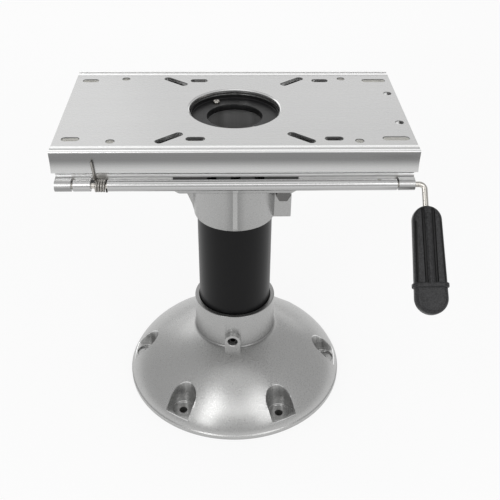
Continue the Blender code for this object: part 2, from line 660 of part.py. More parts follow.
def swivel_housing():
    """Cast collar, clamp lugs, gussets, flange and hub in one piece."""
    upper = collar_radius + COLLAR_DRAFT
    chamfer = COLLAR_CHAMFER
    profile = [(hub_radius - chamfer, hub_top), (hub_radius, hub_top - chamfer)]
    profile += [(hub_radius, flange_bottom + FLANGE_THICKNESS / 2)]
    profile += [(upper, flange_bottom + FLANGE_THICKNESS / 2)]
    profile += [(upper, flange_bottom - chamfer), (collar_radius, collar_bottom + chamfer)]
    profile += [(collar_radius - chamfer, collar_bottom), (collar_bore, collar_bottom)]
    profile += [(collar_bore, land_bottom), (column_radius + 2 * SEAT_GAP, land_bottom)]
    profile += [(column_radius + 2 * SEAT_GAP, land_top), (hub_bore, land_top), (hub_bore, hub_top)]
    housing = turned("swivel_housing", profile, closed=True)

    corner = FLANGE_CORNER
    flange = prism("flange", [corner_plate(FLANGE_LENGTH, FLANGE_WIDTH, corner)], FLANGE_THICKNESS)
    edge = flange.modifiers.new("edge", "BEVEL")
    edge.width = FLANGE_EDGE
    edge.segments = 2
    opening = rod("flange_opening", (collar_bore + collar_radius) / 2, FLANGE_THICKNESS * 2, ROUND_SIDES)
    cut(flange, as_cutter(opening, (0, 0, flange_bottom - FLANGE_THICKNESS / 2)))
    join(housing, as_cutter(flange, (0, 0, flange_bottom + FLANGE_THICKNESS / 2)))

    inner = (collar_bore + collar_radius) / 2
    low = collar_bottom + GUSSET_FOOT
    height = flange_bottom + FLANGE_THICKNESS / 2
    kink_out, kink_up = GUSSET_KINK
    reach = FLANGE_LENGTH / 2 - GUSSET_INSET
    gusset_side = [(inner, height), (inner, low), (collar_radius, low),
                   (collar_radius + kink_out, low + kink_up), (reach, flange_bottom), (reach, height)]
    foot = collar_bottom + RIB_FOOT
    rib_side = [(inner, height), (inner, foot), (collar_radius + RIB_REACH - COLLAR_CHAMFER, foot),
                (collar_radius + RIB_REACH, foot + COLLAR_CHAMFER),
                (collar_radius + RIB_REACH + COLLAR_DRAFT, height)]
    for label, degrees, outline in (("left", 180, gusset_side), ("front", -90, rib_side),
                                    ("rear", 90, rib_side)):
        gusset = prism(f"gusset_{label}", [outline], GUSSET_THICKNESS)
        holder = bpy.data.objects.new(f"gusset_{label}_side", None)
        holder.rotation_euler = (0, 0, math.radians(degrees))
        cutters.objects.link(holder)
        join(housing, as_cutter(gusset, rotation=ALONG_Y, parent=holder))

    half = LUG_SLIT / 2 + LUG_THICKNESS
    lug_bottom = collar_bottom - LUG_DROP
    lug = block("clamp_lugs", (inner, -half, lug_bottom), (LUG_REACH, half, height))
    edge = lug.modifiers.new("edge", "BEVEL")
    edge.width = LUG_EDGE
    edge.segments = 1
    join(housing, as_cutter(lug))
    slit = block("clamp_slit", (column_radius - COLUMN_WALL, -LUG_SLIT / 2, lug_bottom - LUG_SLIT),
                 (LUG_REACH + LUG_SLIT, LUG_SLIT / 2, collar_bottom + SLIT_LENGTH))
    cut(housing, as_cutter(slit))
    drill = rod("clamp_hole", CLAMP_BOLT / 2 + BORE_GAP, 4 * half, 16)
    spot = (clamp_x(), 2 * half, flange_bottom - CLAMP_BOLT_DROP)
    cut(housing, as_cutter(drill, spot, (math.radians(90), 0, 0)))

    bolt_x, bolt_y = track_bolt_place
    taps = []
    for x in (-bolt_x, bolt_x):
        for y in (-bolt_y, bolt_y):
            taps.append(circle((x, y), TRACK_BOLT / 2 + BORE_GAP))
    depth = TRACK_BOLT_LENGTH
    tap = prism("flange_taps", taps, 2 * depth)
    cut(housing, as_cutter(tap, (0, 0, flange_top)))
    return place(housing, CAST_SILVER)


def clamp_x():
    """Distance of the clamp bolt from the column's axis."""
    return collar_radius + CLAMP_BOLT_SET


def clamp_hardware():
    """Hexagon bolt, washers and nut through the clamp lugs."""
    height = flange_bottom - CLAMP_BOLT_DROP
    face = LUG_SLIT / 2 + LUG_THICKNESS
    seat = face + 2 * SEAT_GAP + CLAMP_WASHER
    for label, direction in (("front", -1), ("rear", 1)):
        washer = ring(f"clamp_washer_{label}", CLAMP_BOLT / 2 + BORE_GAP, CLAMP_WASHER_DIAMETER / 2,
                      0, CLAMP_WASHER, 16)
        y = direction * (face + SEAT_GAP)
        place(washer, BRIGHT_STEEL, (clamp_x(), y, height), (math.radians(-90 * direction), 0, 0))
    length = 2 * seat + CLAMP_NUT + 2 * SEAT_GAP
    bolt = rod("clamp_bolt", CLAMP_BOLT / 2, length, 16, SCREW_CHAMFER)
    head = prism("clamp_bolt_head", [hexagon(CLAMP_BOLT_HEAD)], CLAMP_HEAD_HEIGHT)
    join(bolt, as_cutter(head, (0, 0, -CLAMP_HEAD_HEIGHT / 2 + BORE_GAP), parent=bolt))
    place(bolt, BRIGHT_STEEL, (clamp_x(), -seat - BORE_GAP, height), (math.radians(-90), 0, 0))
    nut = prism("clamp_nut", [hexagon(CLAMP_BOLT_HEAD)], CLAMP_NUT)
    bore = rod("clamp_nut_bore", CLAMP_BOLT / 2 + BORE_GAP, 2 * CLAMP_NUT, 16)
    cut(nut, as_cutter(bore, (0, 0, -CLAMP_NUT), parent=nut))
    place(nut, BRIGHT_STEEL, (clamp_x(), seat + SEAT_GAP + CLAMP_NUT / 2, height),
          (math.radians(-90), 0, 0))


def mirror_outline(half):
    """Close an outline whose half lies on the +x side, from its top to its bottom."""
    return half + [(-x, y) for x, y in reversed(half)]


def plate_section():
    """Half of the seat plate's section: x across, y up."""
    ridge_in = side - RIDGE_START
    ridge_out = ridge_in + RIDGE_WIDTH
    groove_out = ridge_out + GROOVE_WIDTH
    ridge = plate_top - RIDGE_HEIGHT
    nose = PLATE_NOSE
    half = []
    for i in range(RIDGE_ROWS + 1):
        share = i / RIDGE_ROWS
        half.append((ridge_in + RIDGE_WIDTH * share, ridge + RIDGE_HEIGHT * math.sin(math.pi * share)))
    half += [(ridge_out, ridge - RIDGE_HEIGHT), (groove_out, ridge - RIDGE_HEIGHT)]
    half += [(groove_out, plate_top), (side - nose, plate_top)]
    half += arc((side - nose, plate_top - nose), nose, 70, 0, 3)
    hollow_top = plate_top - 2 * nose
    depth = hollow_top - skirt_bottom - nose
    for i in range(1, HOLLOW_ROWS):
        share = i / HOLLOW_ROWS
        half.append((side - SKIRT_HOLLOW * math.sin(math.pi * share), hollow_top - depth * share))
    half += [(side, skirt_bottom + nose), (side - nose / 2, skirt_bottom)]
    half += [(lip_inside, skirt_bottom), (lip_inside, lip_top), (skirt_inside, lip_top)]
    half.append((skirt_inside, plate_under))
    return half


def seat_holes():
    """Outlines of every hole and slot through the seat plate."""
    outlines = [circle((0, 0), CENTRE_HOLE / 2, ROUND_SIDES)]
    for y in (-SLOT_ROW, SLOT_ROW):
        for x, length in (LEFT_SLOT, RIGHT_SLOT, INNER_LEFT_SLOT, INNER_RIGHT_SLOT):
            outlines.append(slot_outline(x, y, length, SLOT_WIDTH))
    for x in (-HOLE_COLUMN, HOLE_COLUMN):
        for y in (-HOLE_ROW, HOLE_ROW):
            outlines.append(slot_outline(x, y, HOLE_DIAMETER, HOLE_DIAMETER))
    x, y, length = DIAGONAL_SLOT
    for across in (-1, 1):
        for along in (-1, 1):
            turn = DIAGONAL_TURN * across * along
            outlines.append(slot_outline(along * x, across * y, length, SLOT_WIDTH, turn))
    x, y = END_HOLES
    for across in (-y, y):
        outlines.append(slot_outline(x, across, HOLE_DIAMETER, HOLE_DIAMETER))
    return outlines


def tooth_back():
    return -(side - TOOTH_SET_BACK - TOOTH_THICKNESS)


def seat_plate():
    """Upper extrusion: the plate that carries the seat, its skirts and its lips."""
    plate = prism("seat_plate", [mirror_outline(plate_section())], PLATE_LENGTH)
    holes = prism("seat_hole_cutter", seat_holes(), 4 * PLATE_THICKNESS)
    cut(plate, as_cutter(holes, (0, 0, plate_top)))
    notches = []
    front = -(side - TOOTH_SET_BACK + 2 * SEAT_GAP)
    for i in range(NOTCH_COUNT):
        x = (i - (NOTCH_COUNT - 1) / 2) * TOOTH_PITCH
        half = NOTCH_WIDTH / 2
        notches.append([(x - half, front), (x + half, front), (x + half, -wall_outside),
                        (x - half, -wall_outside)])
    notch = prism("notch_cutter", notches, 2 * LIP_THICKNESS)
    cut(plate, as_cutter(notch, (0, 0, skirt_bottom)))
    taps = [circle((x, 0), STOP_SCREW / 2 + BORE_GAP) for x in (-stop_x(), stop_x())]
    tap = prism("stop_taps", taps, 2 * (STOP_SCREW_BITE + SEAT_GAP))
    cut(plate, as_cutter(tap, (0, 0, plate_under)))
    plate.rotation_euler = ALONG_X
    return place(plate, ANODISED, rotation=ALONG_X)


def stop_x():
    """Distance of a stop's middle from the column's axis."""
    return hub_radius + 2 * SEAT_GAP + SLIDE_TRAVEL + STOP_LENGTH / 2


def end_stops():
    """Nylon blocks under the plate that meet the hub at each end of the travel."""
    top = plate_under - SEAT_GAP
    for label, direction in (("left", -1), ("right", 1)):
        x = direction * stop_x()
        stop = block(f"stop_block_{label}", (-STOP_LENGTH / 2, -STOP_WIDTH / 2, -STOP_HEIGHT),
                     (STOP_LENGTH / 2, STOP_WIDTH / 2, 0))
        edge = stop.modifiers.new("edge", "BEVEL")
        edge.width = STOP_EDGE
        edge.segments = 1
        bore = rod(f"stop_bore_{label}", STOP_SCREW / 2 + BORE_GAP, 2 * STOP_HEIGHT, 12)
        cut(stop, as_cutter(bore, (0, 0, -1.5 * STOP_HEIGHT), parent=stop))
        place(stop, NATURAL_NYLON, (x, 0, top))
        length = STOP_HEIGHT + 2 * SEAT_GAP + STOP_SCREW_BITE
        screw = button_screw(f"stop_screw_{label}", STOP_SCREW, length, STOP_SCREW_HEAD,
                             STOP_SCREW * 0.6)
        place(screw, BRIGHT_STEEL, (x, 0, top - STOP_HEIGHT - SEAT_GAP), (math.pi, 0, 0))


def track():
    """Lower extrusion, bolted to the housing, with the ledge and knuckles of the lock bar."""
    inside = wall_outside - TRACK_WALL
    web_top = track_bottom + TRACK_WEB
    half = [(inside, web_top), (inside, rail_under), (RAIL_INNER, rail_under + RAIL_TAPER)]
    half += [(RAIL_INNER, rail_top), (rail_outer, rail_top), (rail_outer, rail_under + RAIL_TAPER)]
    half += [(wall_outside, rail_under)]
    rear = half + [(wall_outside, track_bottom)]
    knuckle_back = math.degrees(math.asin((ledge_under - bar_z) / bar_radius))
    front = [(wall_outside, track_bottom), (wall_outside, ledge_under)]
    front += [(-y, z) for y, z in arc((bar_y, bar_z), bar_radius, knuckle_back, -270, 16)]
    front += [(-ledge_front, bar_z + bar_radius), (-ledge_front, fascia_top)]
    front += [(-fascia_back, fascia_top), (-fascia_back, ledge_top)]
    front += [(wall_outside, ledge_top)] + half[::-1]
    body = prism("track", [rear + [(-x, y) for x, y in front]], TRACK_LENGTH)
    reach = TRACK_LENGTH / 2 - KNUCKLE_LENGTH
    space = block("bar_space", (-reach, bar_y - 2 * bar_radius, bar_z - 2 * bar_radius),
                  (reach, ledge_front + BAR_SPACE_CUT, bar_z + 2 * bar_radius))
    cut(body, as_cutter(space))
    start = -TRACK_LENGTH / 2 + KNUCKLE_LENGTH / 4
    bore = rod("knuckle_bore", rod_radius + BORE_GAP, TRACK_LENGTH)
    cut(body, as_cutter(bore, (start, bar_y, bar_z), (0, math.radians(90), 0)))

    slot_back = tooth_back() + TOOTH_THICKNESS
    slot = block("lock_slot", (-LOCK_SLOT / 2, bar_y, ledge_under - LEDGE_THICKNESS),
                 (LOCK_SLOT / 2, slot_back, ledge_top + FASCIA_WINDOW))
    cut(body, as_cutter(slot))
    spring_back = bar_y + SPRING_DIAMETER / 2 + 2 * SEAT_GAP
    relief = block("spring_relief",
                   (spring_left() - 2 * SPRING_WIRE, bar_y, ledge_under - LEDGE_THICKNESS),
                   (spring_right() + SPRING_WIRE / 2, spring_back, fascia_top + LEDGE_THICKNESS))
    cut(body, as_cutter(relief))

    bolt_x, bolt_y = track_bolt_place
    holes = [circle((0, 0), hub_radius + 2 * SEAT_GAP, ROUND_SIDES)]
    for x in (-bolt_x, bolt_x):
        for y in (-bolt_y, bolt_y):
            holes.append(circle((x, y), TRACK_BOLT / 2 + BORE_GAP))
    opening = prism("track_opening", holes, 4 * TRACK_WEB)
    cut(body, as_cutter(opening, (0, 0, track_bottom)))
    pegs = [circle(spot, GLIDE_PEG / 2 + BORE_GAP) for spot in glide_pegs().values()]
    peg_holes = prism("peg_holes", pegs, 4 * RAIL_THICKNESS)
    cut(body, as_cutter(peg_holes, (0, 0, rail_top)))
    body.rotation_euler = ALONG_X
    return place(body, ANODISED, rotation=ALONG_X)


def track_bolts():
    """Button head screws that hold the track on the housing's flange."""
    bolt_x, bolt_y = track_bolt_place
    seat = track_bottom + TRACK_WEB + SEAT_GAP
    length = TRACK_BOLT_LENGTH + TRACK_WEB - SEAT_GAP
    for i, (x, y) in enumerate(((-1, -1), (1, -1), (1, 1), (-1, 1))):
        bolt = button_screw(f"track_bolt_{i + 1}", TRACK_BOLT, length, TRACK_BOLT_HEAD,
                            TRACK_BOLT * 0.6)
        place(bolt, BRIGHT_STEEL, (x * bolt_x, y * bolt_y, seat))


def glide_pegs():
    """Places of the four glides' pegs."""
    x = TRACK_LENGTH / 2 - GLIDE_LENGTH / 2
    y = RAIL_INNER + GLIDE_PEG_INSET
    return {"front_left": (-x, -y), "front_right": (x, -y), "rear_left": (-x, y), "rear_right": (x, y)}


def glides():
    """Nylon shoes that wrap the track's rails and carry the seat plate."""
    outer = skirt_inside - SEAT_GAP
    inner = rail_outer + SEAT_GAP
    foot = wall_outside + 2 * SEAT_GAP
    top = plate_under - SEAT_GAP
    bottom = lip_top + SEAT_GAP
    section = [(RAIL_INNER, rail_top + SEAT_GAP), (inner, rail_top + SEAT_GAP)]
    section += [(inner, rail_under - SEAT_GAP), (foot, rail_under - SEAT_GAP), (foot, bottom)]
    section += [(outer, bottom), (outer, top), (RAIL_INNER, top)]
    for label, (x, y) in glide_pegs().items():
        direction = 1 if y > 0 else -1
        outline = [(direction * a, b) for a, b in section]
        glide = prism(f"glide_{label}", [outline], GLIDE_LENGTH)
        peg = rod(f"peg_{label}", GLIDE_PEG / 2, RAIL_THICKNESS + GLIDE_LEAF / 2, 16)
        join(glide, as_cutter(peg, (x, y, rail_top - RAIL_THICKNESS)))
        place(glide, NATURAL_NYLON, (x, 0, 0), ALONG_X)


def spring_left():
    return -TRACK_LENGTH / 2 + KNUCKLE_LENGTH + 2 * BAR_END_GAP + SPACER_LENGTH + SPRING_WIRE


def spring_right():
    return spring_left() + SPRING_LENGTH


def lock_bar(pivot):
    """Tube with a flange and teeth, which turns with the rod."""
    start = spring_right() + SPRING_WIRE / 2 + 2 * SEAT_GAP
    end = TRACK_LENGTH / 2 - KNUCKLE_LENGTH - BAR_END_GAP
    length = end - start
    flange_low = -bar_radius + BAR_FLANGE_LIFT
    flange_high = flange_low + BAR_FLANGE
    back = tooth_back() - bar_y
    top = skirt_bottom - TOOTH_SHORT - bar_z
    meet = math.degrees(math.acos(flange_high / bar_radius))
    outline = arc((0, 0), bar_radius, 90 - meet, 270, 16)
    outline += [(back, -bar_radius), (back, flange_high)]
    bar = prism("lock_bar", [outline], length)
    for i in range(TOOTH_COUNT):
        x = (i - (TOOTH_COUNT - 1) / 2) * TOOTH_PITCH
        tooth = block(f"tooth_{i + 1}", (x - TOOTH_WIDTH / 2, back - TOOTH_THICKNESS, flange_low),
                      (x + TOOTH_WIDTH / 2, back, top))
        edge = tooth.modifiers.new("edge", "BEVEL")
        edge.width = TOOTH_EDGE
        edge.segments = 1
        join(bar, as_cutter(tooth, parent=pivot))
    bore = rod("bar_bore", rod_radius + BORE_GAP, 2 * length)
    cut(bar, as_cutter(bore, (start - length / 2, 0, 0), (0, math.radians(90), 0), pivot))
    hole = rod("bar_pin_hole", ROD_PIN / 2 + BORE_GAP, 4 * bar_radius, 10)
    cut(bar, as_cutter(hole, (pin_x, 0, -2 * bar_radius), parent=pivot))
    place(bar, ANODISED, ((start + end) / 2, 0, 0), ALONG_X, pivot)

    left = -TRACK_LENGTH / 2 + KNUCKLE_LENGTH + BAR_END_GAP
    spacer = ring("rod_spacer", rod_radius + BORE_GAP, bar_radius, 0, SPACER_LENGTH, 20)
    place(spacer, ANODISED, (left, 0, 0), (0, math.radians(90), 0), pivot)


def lever_direction():
    """Unit vector from the rod down the lever, in the pivot's frame."""
    return Vector((0, -math.cos(LEVER_DROP), -math.sin(LEVER_DROP)))


def lever_rod(pivot):
    """Steel rod through the knuckles, bent at its end to carry the grip."""
    start = -TRACK_LENGTH / 2 + KNUCKLE_LENGTH / 4 + SEAT_GAP
    turn_x = TRACK_LENGTH / 2 + LEVER_SIDE
    down = lever_direction()
    centre = Vector((turn_x - ROD_BEND, 0, 0)) + down * ROD_BEND
    points = [Vector((start, 0, 0))]
    for i in range(7):
        angle = math.pi / 2 * i / 6
        points.append(centre + Vector((math.sin(angle), 0, 0)) * ROD_BEND - down * math.cos(angle) * ROD_BEND)
    points.append(Vector((turn_x, 0, 0)) + down * (GRIP_START + GRIP_BORE_DEPTH - SEAT_GAP))
    curve = bpy.data.curves.new("lever_rod", "CURVE")
    curve.dimensions = "3D"
    curve.bevel_depth = rod_radius
    curve.bevel_resolution = 3
    curve.use_fill_caps = True
    spline = curve.splines.new("POLY")
    spline.points.add(len(points) - 1)
    for point, spot in zip(spline.points, points):
        point.co = (*spot, 1)
    bar = solid_of(bpy.data.objects.new("lever_rod", curve))
    hole = rod("rod_pin_hole", ROD_PIN / 2 + BORE_GAP, 4 * rod_radius, 10)
    cut(bar, as_cutter(hole, (pin_x, 0, -2 * rod_radius), parent=pivot))
    smooth(bar.data)
    place(bar, BRIGHT_STEEL, parent=pivot)
    pin = rod("rod_pin", ROD_PIN / 2, bar_radius * 2, 10, PIN_CHAMFER)
    place(pin, BRIGHT_STEEL, (pin_x, 0, -bar_radius), parent=pivot)


def grip_outline():
    """Face outline of the grip, x across and y down its length as -y."""
    top, end = GRIP_TOP_WIDTH / 2, GRIP_END_WIDTH / 2

    def half_width(depth):
        if depth < top:
            return math.sqrt(max(top ** 2 - (top - depth) ** 2, 0))
        if depth > GRIP_LENGTH - end:
            rest = depth - (GRIP_LENGTH - end)
            return math.sqrt(max(end ** 2 - rest ** 2, 0))
        return top + (end - top) * (depth - top) / (GRIP_LENGTH - end - top)

    right = [(half_width(top * (1 - math.cos(math.radians(a)))), -top * (1 - math.cos(math.radians(a))))
             for a in range(0, 91, 15)]
    right += [(half_width(GRIP_LENGTH - end + end * math.sin(math.radians(a))),
               -(GRIP_LENGTH - end + end * math.sin(math.radians(a)))) for a in range(0, 91, 15)]
    return right + [(-x, y) for x, y in reversed(right[1:-1])]


def lever_grip(pivot):
    """Moulded grip with a rib over the rod, side flutes and a raised band."""
    facing = (LEVER_DROP, 0, 0)
    hand = bpy.data.objects.new("grip_frame", None)
    hand.parent = pivot
    hand.location = Vector((TRACK_LENGTH / 2 + LEVER_SIDE, 0, 0)) + lever_direction() * GRIP_START
    hand.rotation_euler = facing
    cutters.objects.link(hand)

    grip = prism("lever_grip", [grip_outline()], GRIP_THICKNESS)
    edge = grip.modifiers.new("edge", "BEVEL")
    edge.width = GRIP_EDGE
    edge.segments = 2
    edge.limit_method = "ANGLE"
    edge.angle_limit = math.radians(60)

    rib_length = GRIP_BAND_PLACE - GRIP_TOP_WIDTH / 4
    rib_depth = GRIP_THICKNESS + 2 * GRIP_RIB_PROUD
    rib = prism("grip_rib", [slot_outline(0, 0, rib_depth, GRIP_RIB, math.pi / 2, 5)], rib_length)
    middle = -GRIP_TOP_WIDTH / 4 - rib_length / 2
    upright = (math.radians(90), 0, 0)
    flutes = []
    reach = GRIP_RIB / 2 + GRIP_FLUTE * 0.4
    edge_reach = GRIP_TOP_WIDTH / 2 - GRIP_FLUTE * 0.7
    tilt = math.atan2((GRIP_END_WIDTH - GRIP_TOP_WIDTH) / 2, GRIP_LENGTH - GRIP_TOP_WIDTH)
    for across in (-1, 1):
        for face in (-1, 1):
            for x, start, width, lean in ((reach, GRIP_TOP_WIDTH / 8, GRIP_FLUTE, 0.0),
                                          (edge_reach, GRIP_TOP_WIDTH * 0.55, GRIP_FLUTE / 2, tilt)):
                length = GRIP_BAND_PLACE - start
                flute = rod(f"flute_{len(flutes) + 1}", width / 2, length, 8)
                spot = (across * x, -start, face * (GRIP_THICKNESS / 2 + width * 0.15))
                turn = (math.radians(90), 0, across * lean)
                flutes.append(as_cutter(flute, spot, turn, hand))
    cut(grip, *flutes)
    join(grip, as_cutter(rib, (0, middle, 0), upright, hand))

    low = GRIP_BAND_PLACE - GRIP_BAND_HEIGHT / 2
    half = GRIP_TOP_WIDTH / 2 + (GRIP_END_WIDTH - GRIP_TOP_WIDTH) / 2 * low / GRIP_LENGTH
    band_width = 2 * (half + GRIP_BAND_PROUD)
    band_depth = GRIP_THICKNESS + 2 * GRIP_BAND_PROUD
    band = prism("grip_band", [rounded_box(band_width, band_depth, GRIP_EDGE + GRIP_BAND_PROUD)],
                 GRIP_BAND_HEIGHT)
    rounding = band.modifiers.new("edge", "BEVEL")
    rounding.width = GRIP_BAND_PROUD * 0.8
    rounding.segments = 2
    rounding.limit_method = "ANGLE"
    rounding.angle_limit = math.radians(60)
    join(grip, as_cutter(band, (0, -GRIP_BAND_PLACE, 0), upright, hand))
    bore = rod("grip_bore", rod_radius + BORE_GAP, 2 * GRIP_BORE_DEPTH)
    cut(grip, as_cutter(bore, (0, GRIP_BORE_DEPTH, 0), upright, hand))
    place(grip, BLACK_PLASTIC, hand.location, facing, pivot)


def rounded_box(width, depth, corner):
    """A rectangle with round corners."""
    x, y = width / 2 - corner, depth / 2 - corner
    points = []
    for cx, cy, start in ((x, y, 0), (-x, y, 90), (-x, -y, 180), (x, -y, 270)):
        points += arc((cx, cy), corner, start, start + 90, 4)
    return points


def torsion_spring():
    """Coil round the rod, with one leg up the skirt and one hooked under the lock bar."""
    radius = (SPRING_DIAMETER - SPRING_WIRE) / 2
    left, right = spring_left(), spring_right()
    first = math.radians(8)
    last = math.radians(-90)
    sweep = math.tau * SPRING_TURNS + (first - last)
    steps = 12 * SPRING_TURNS
    tip_y = bar_y + BAR_OFFSET - SPRING_WIRE / 2 - 2 * SEAT_GAP
    leg_x = -(SPRING_WIRE * 1.2)
    start = Vector((left, bar_y + radius * math.cos(first), bar_z + radius * math.sin(first)))
    points = [Vector((left + leg_x, tip_y, start.z + SPRING_LEG)),
              Vector((left + leg_x * 0.6, tip_y - SPRING_WIRE / 3, start.z + SPRING_LEG * 0.6)),
              Vector((left + leg_x * 0.2, tip_y - SPRING_WIRE / 4, start.z + SPRING_LEG * 0.25))]
    for i in range(steps + 1):
        share = i / steps
        angle = first - sweep * share
        points.append(Vector((left + (right - left) * share, bar_y + radius * math.cos(angle),
                              bar_z + radius * math.sin(angle))))
    hook_z = bar_z - bar_radius - SPRING_WIRE / 2 - SEAT_GAP
    back = tooth_back() - TOOTH_THICKNESS
    points[-1].z = hook_z
    points.append(Vector((right, back - SPRING_WIRE, hook_z)))
    points.append(Vector((right + SPRING_WIRE, back, hook_z)))
    points.append(Vector((right + SPRING_HOOK, back, hook_z)))
    curve = bpy.data.curves.new("torsion_spring", "CURVE")
    curve.dimensions = "3D"
    curve.bevel_depth = SPRING_WIRE / 2
    curve.bevel_resolution = 1
    curve.use_fill_caps = True
    spline = curve.splines.new("POLY")
    spline.points.add(len(points) - 1)
    for point, spot in zip(spline.points, points):
        point.co = (*spot, 1)
    spring = solid_of(bpy.data.objects.new("torsion_spring", curve))
    smooth(spring.data, 60)
    return place(spring, BRIGHT_STEEL)


def main():
    clear_scene()
    pivot = bpy.data.objects.new("lever_pivot", None)
    pivot.location = (0, bar_y, bar_z)
    part.objects.link(pivot)
    base_casting()
    base_set_screw()
    column()
    swivel_bearing()
    swivel_housing()
    clamp_hardware()
    track()
    track_bolts()
    glides()
    seat_plate()
    end_stops()
    lock_bar(pivot)
    lever_rod(pivot)
    lever_grip(pivot)
    torsion_spring()


main()
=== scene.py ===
"""Looks for the boat seat pedestal: fine surfaces and finishes around its fixed frame."""
import math

import bpy
from bpy.props import FloatProperty, FloatVectorProperty, PointerProperty
from mathutils import Matrix, Vector


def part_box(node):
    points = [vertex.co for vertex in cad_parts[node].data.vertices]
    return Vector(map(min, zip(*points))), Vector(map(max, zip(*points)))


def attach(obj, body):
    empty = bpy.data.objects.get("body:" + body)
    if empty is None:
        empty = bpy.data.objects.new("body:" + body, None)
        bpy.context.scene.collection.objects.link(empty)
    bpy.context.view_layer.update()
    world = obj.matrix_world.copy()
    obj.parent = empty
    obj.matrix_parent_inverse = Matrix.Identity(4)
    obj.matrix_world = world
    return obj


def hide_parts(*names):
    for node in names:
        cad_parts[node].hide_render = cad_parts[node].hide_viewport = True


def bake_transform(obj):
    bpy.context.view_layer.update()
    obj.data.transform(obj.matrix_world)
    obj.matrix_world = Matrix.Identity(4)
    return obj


bl_info = {
    "name": "Boat Seat Pedestal",
    "version": (1, 0, 0),
    "blender": (4, 5, 0),
    "location": "View3D > Sidebar > Pedestal",
    "description": "Builds the castings, slide, lock bar and lever of a boat seat pedestal",
    "category": "Object",
}

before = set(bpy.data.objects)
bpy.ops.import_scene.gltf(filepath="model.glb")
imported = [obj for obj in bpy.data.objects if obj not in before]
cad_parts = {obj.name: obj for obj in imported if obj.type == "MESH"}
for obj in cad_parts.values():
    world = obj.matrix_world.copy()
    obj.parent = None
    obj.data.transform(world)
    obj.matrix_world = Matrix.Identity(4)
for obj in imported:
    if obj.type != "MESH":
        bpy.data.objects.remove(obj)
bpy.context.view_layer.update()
MM = 0.001


def low(node):
    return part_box(node)[0]


def high(node):
    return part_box(node)[1]


def middle(node):
    """Centre of a node's box."""
    return (low(node) + high(node)) / 2


# Heights and radii that the frame gives
DECK = low("base_casting").z
SOCKET_TOP = high("base_casting").z
COLUMN_TOP = high("column").z
COLUMN_FOOT = low("column").z
COLUMN_RADIUS = high("column").x
RING_TOP = high("top_ring").z
RING_FOOT = low("top_ring").z
RING_RADIUS = high("top_ring").x
PLATE_TOP = high("seat_plate").z
SKIRT_FOOT = low("seat_plate").z
PLATE_HALF = high("seat_plate").x
PLATE_SIDE = high("seat_plate").y
COLLAR_FOOT = low("swivel_housing").z + MM
HUB_TOP = high("swivel_housing").z
FLANGE_HALF = high("swivel_housing").x
FLANGE_SIDE = high("swivel_housing").y
TRACK_FOOT = low("track").z
RAIL_TOP = high("track").z
TRACK_HALF = high("track").x
BAR_TOP = high("rod_spacer").z
BAR_RADIUS = (BAR_TOP - low("rod_spacer").z) / 2
PIVOT = Vector((0, *middle("rod_spacer").yz))
RIM_RADIUS = high("base_casting").x

# Clearance between fitted pieces, and the smallest bevel
GAP = 0.3 * MM

# Foot: its pockets and the turn of the first, circle of the deck screws, boss, and the dome's curve
POCKETS = 6
FOOT_TURN = math.radians(-3.3)
SCREW_CIRCLE = 98 * MM
BOSS_HEIGHT = 72 * MM
SOCKET_BORE = COLUMN_RADIUS + GAP
DOME_EDGE = RIM_RADIUS - MM
DOME_SPREAD = 1.257
DOME_FULLNESS = 0.703

# Bores that several pieces share, and the plate's flat face below its ridges
HOUSING_BORE = 38.8 * MM
BOLT_HOLE = 4.3 * MM
ROD_BORE = 2.7 * MM
PIN_HOLE = 1.5 * MM
PLATE_FACE = PLATE_TOP - 0.5 * MM
LEDGE_FRONT = PIVOT.y + BAR_RADIUS

# Lever: how far it hangs forward of straight down, where its grip starts, and the grip's band below that
DROP = math.radians(43.5)
DOWN = Vector((0, -math.cos(DROP), -math.sin(DROP)))
LEVER_X = TRACK_HALF + 8.4 * MM
LEVER_START = Vector((LEVER_X, PIVOT.y, PIVOT.z))
GRIP_PLACE = LEVER_START + DOWN * 19 * MM
GRIP_BAND = 66 * MM

# Photograph's camera, in metres and radians
CAMERA_PLACE = (-6.564 * MM, -645.41 * MM, 603.856 * MM)
CAMERA_PITCH = math.radians(34.898)
CAMERA_YAW = math.radians(1.953)
CAMERA_ROLL = math.radians(0.727)
CAMERA_LENS = 55.918


class Value:
    """A shader socket that can be used in sums, with the node tree it belongs to."""

    def __init__(self, tree, socket):
        self.tree = tree
        self.socket = socket

    def maths(self, operation, *others):
        return self.tree.node("ShaderNodeMath", {"operation": operation}, self, *others)

    def __add__(self, other):
        return self.maths("ADD", other)

    __radd__ = __add__

    def __mul__(self, other):
        return self.maths("MULTIPLY", other)

    __rmul__ = __mul__

    def __sub__(self, other):
        return self.maths("SUBTRACT", other)

    def __rsub__(self, other):
        return self.tree.node("ShaderNodeMath", {"operation": "SUBTRACT"}, other, self)

    def __truediv__(self, other):
        return self.maths("DIVIDE", other)

    def power(self, other):
        return self.maths("POWER", other)

    def absolute(self):
        return self.maths("ABSOLUTE")

    def above(self, other):
        return self.maths("GREATER_THAN", other)

    def clamped(self):
        return self.tree.node("ShaderNodeClamp", {}, self)

    def between(self, start, end, first=0.0, last=1.0):
        """Map start to end, smoothly, on to first to last."""
        settings = {"interpolation_type": "SMOOTHSTEP"}
        return self.tree.node("ShaderNodeMapRange", settings, self, start, end, first, last)

    def fading(self, start, end):
        """One up to start, then smoothly down to nothing at end."""
        return self.between(start, end, 1.0, 0.0)


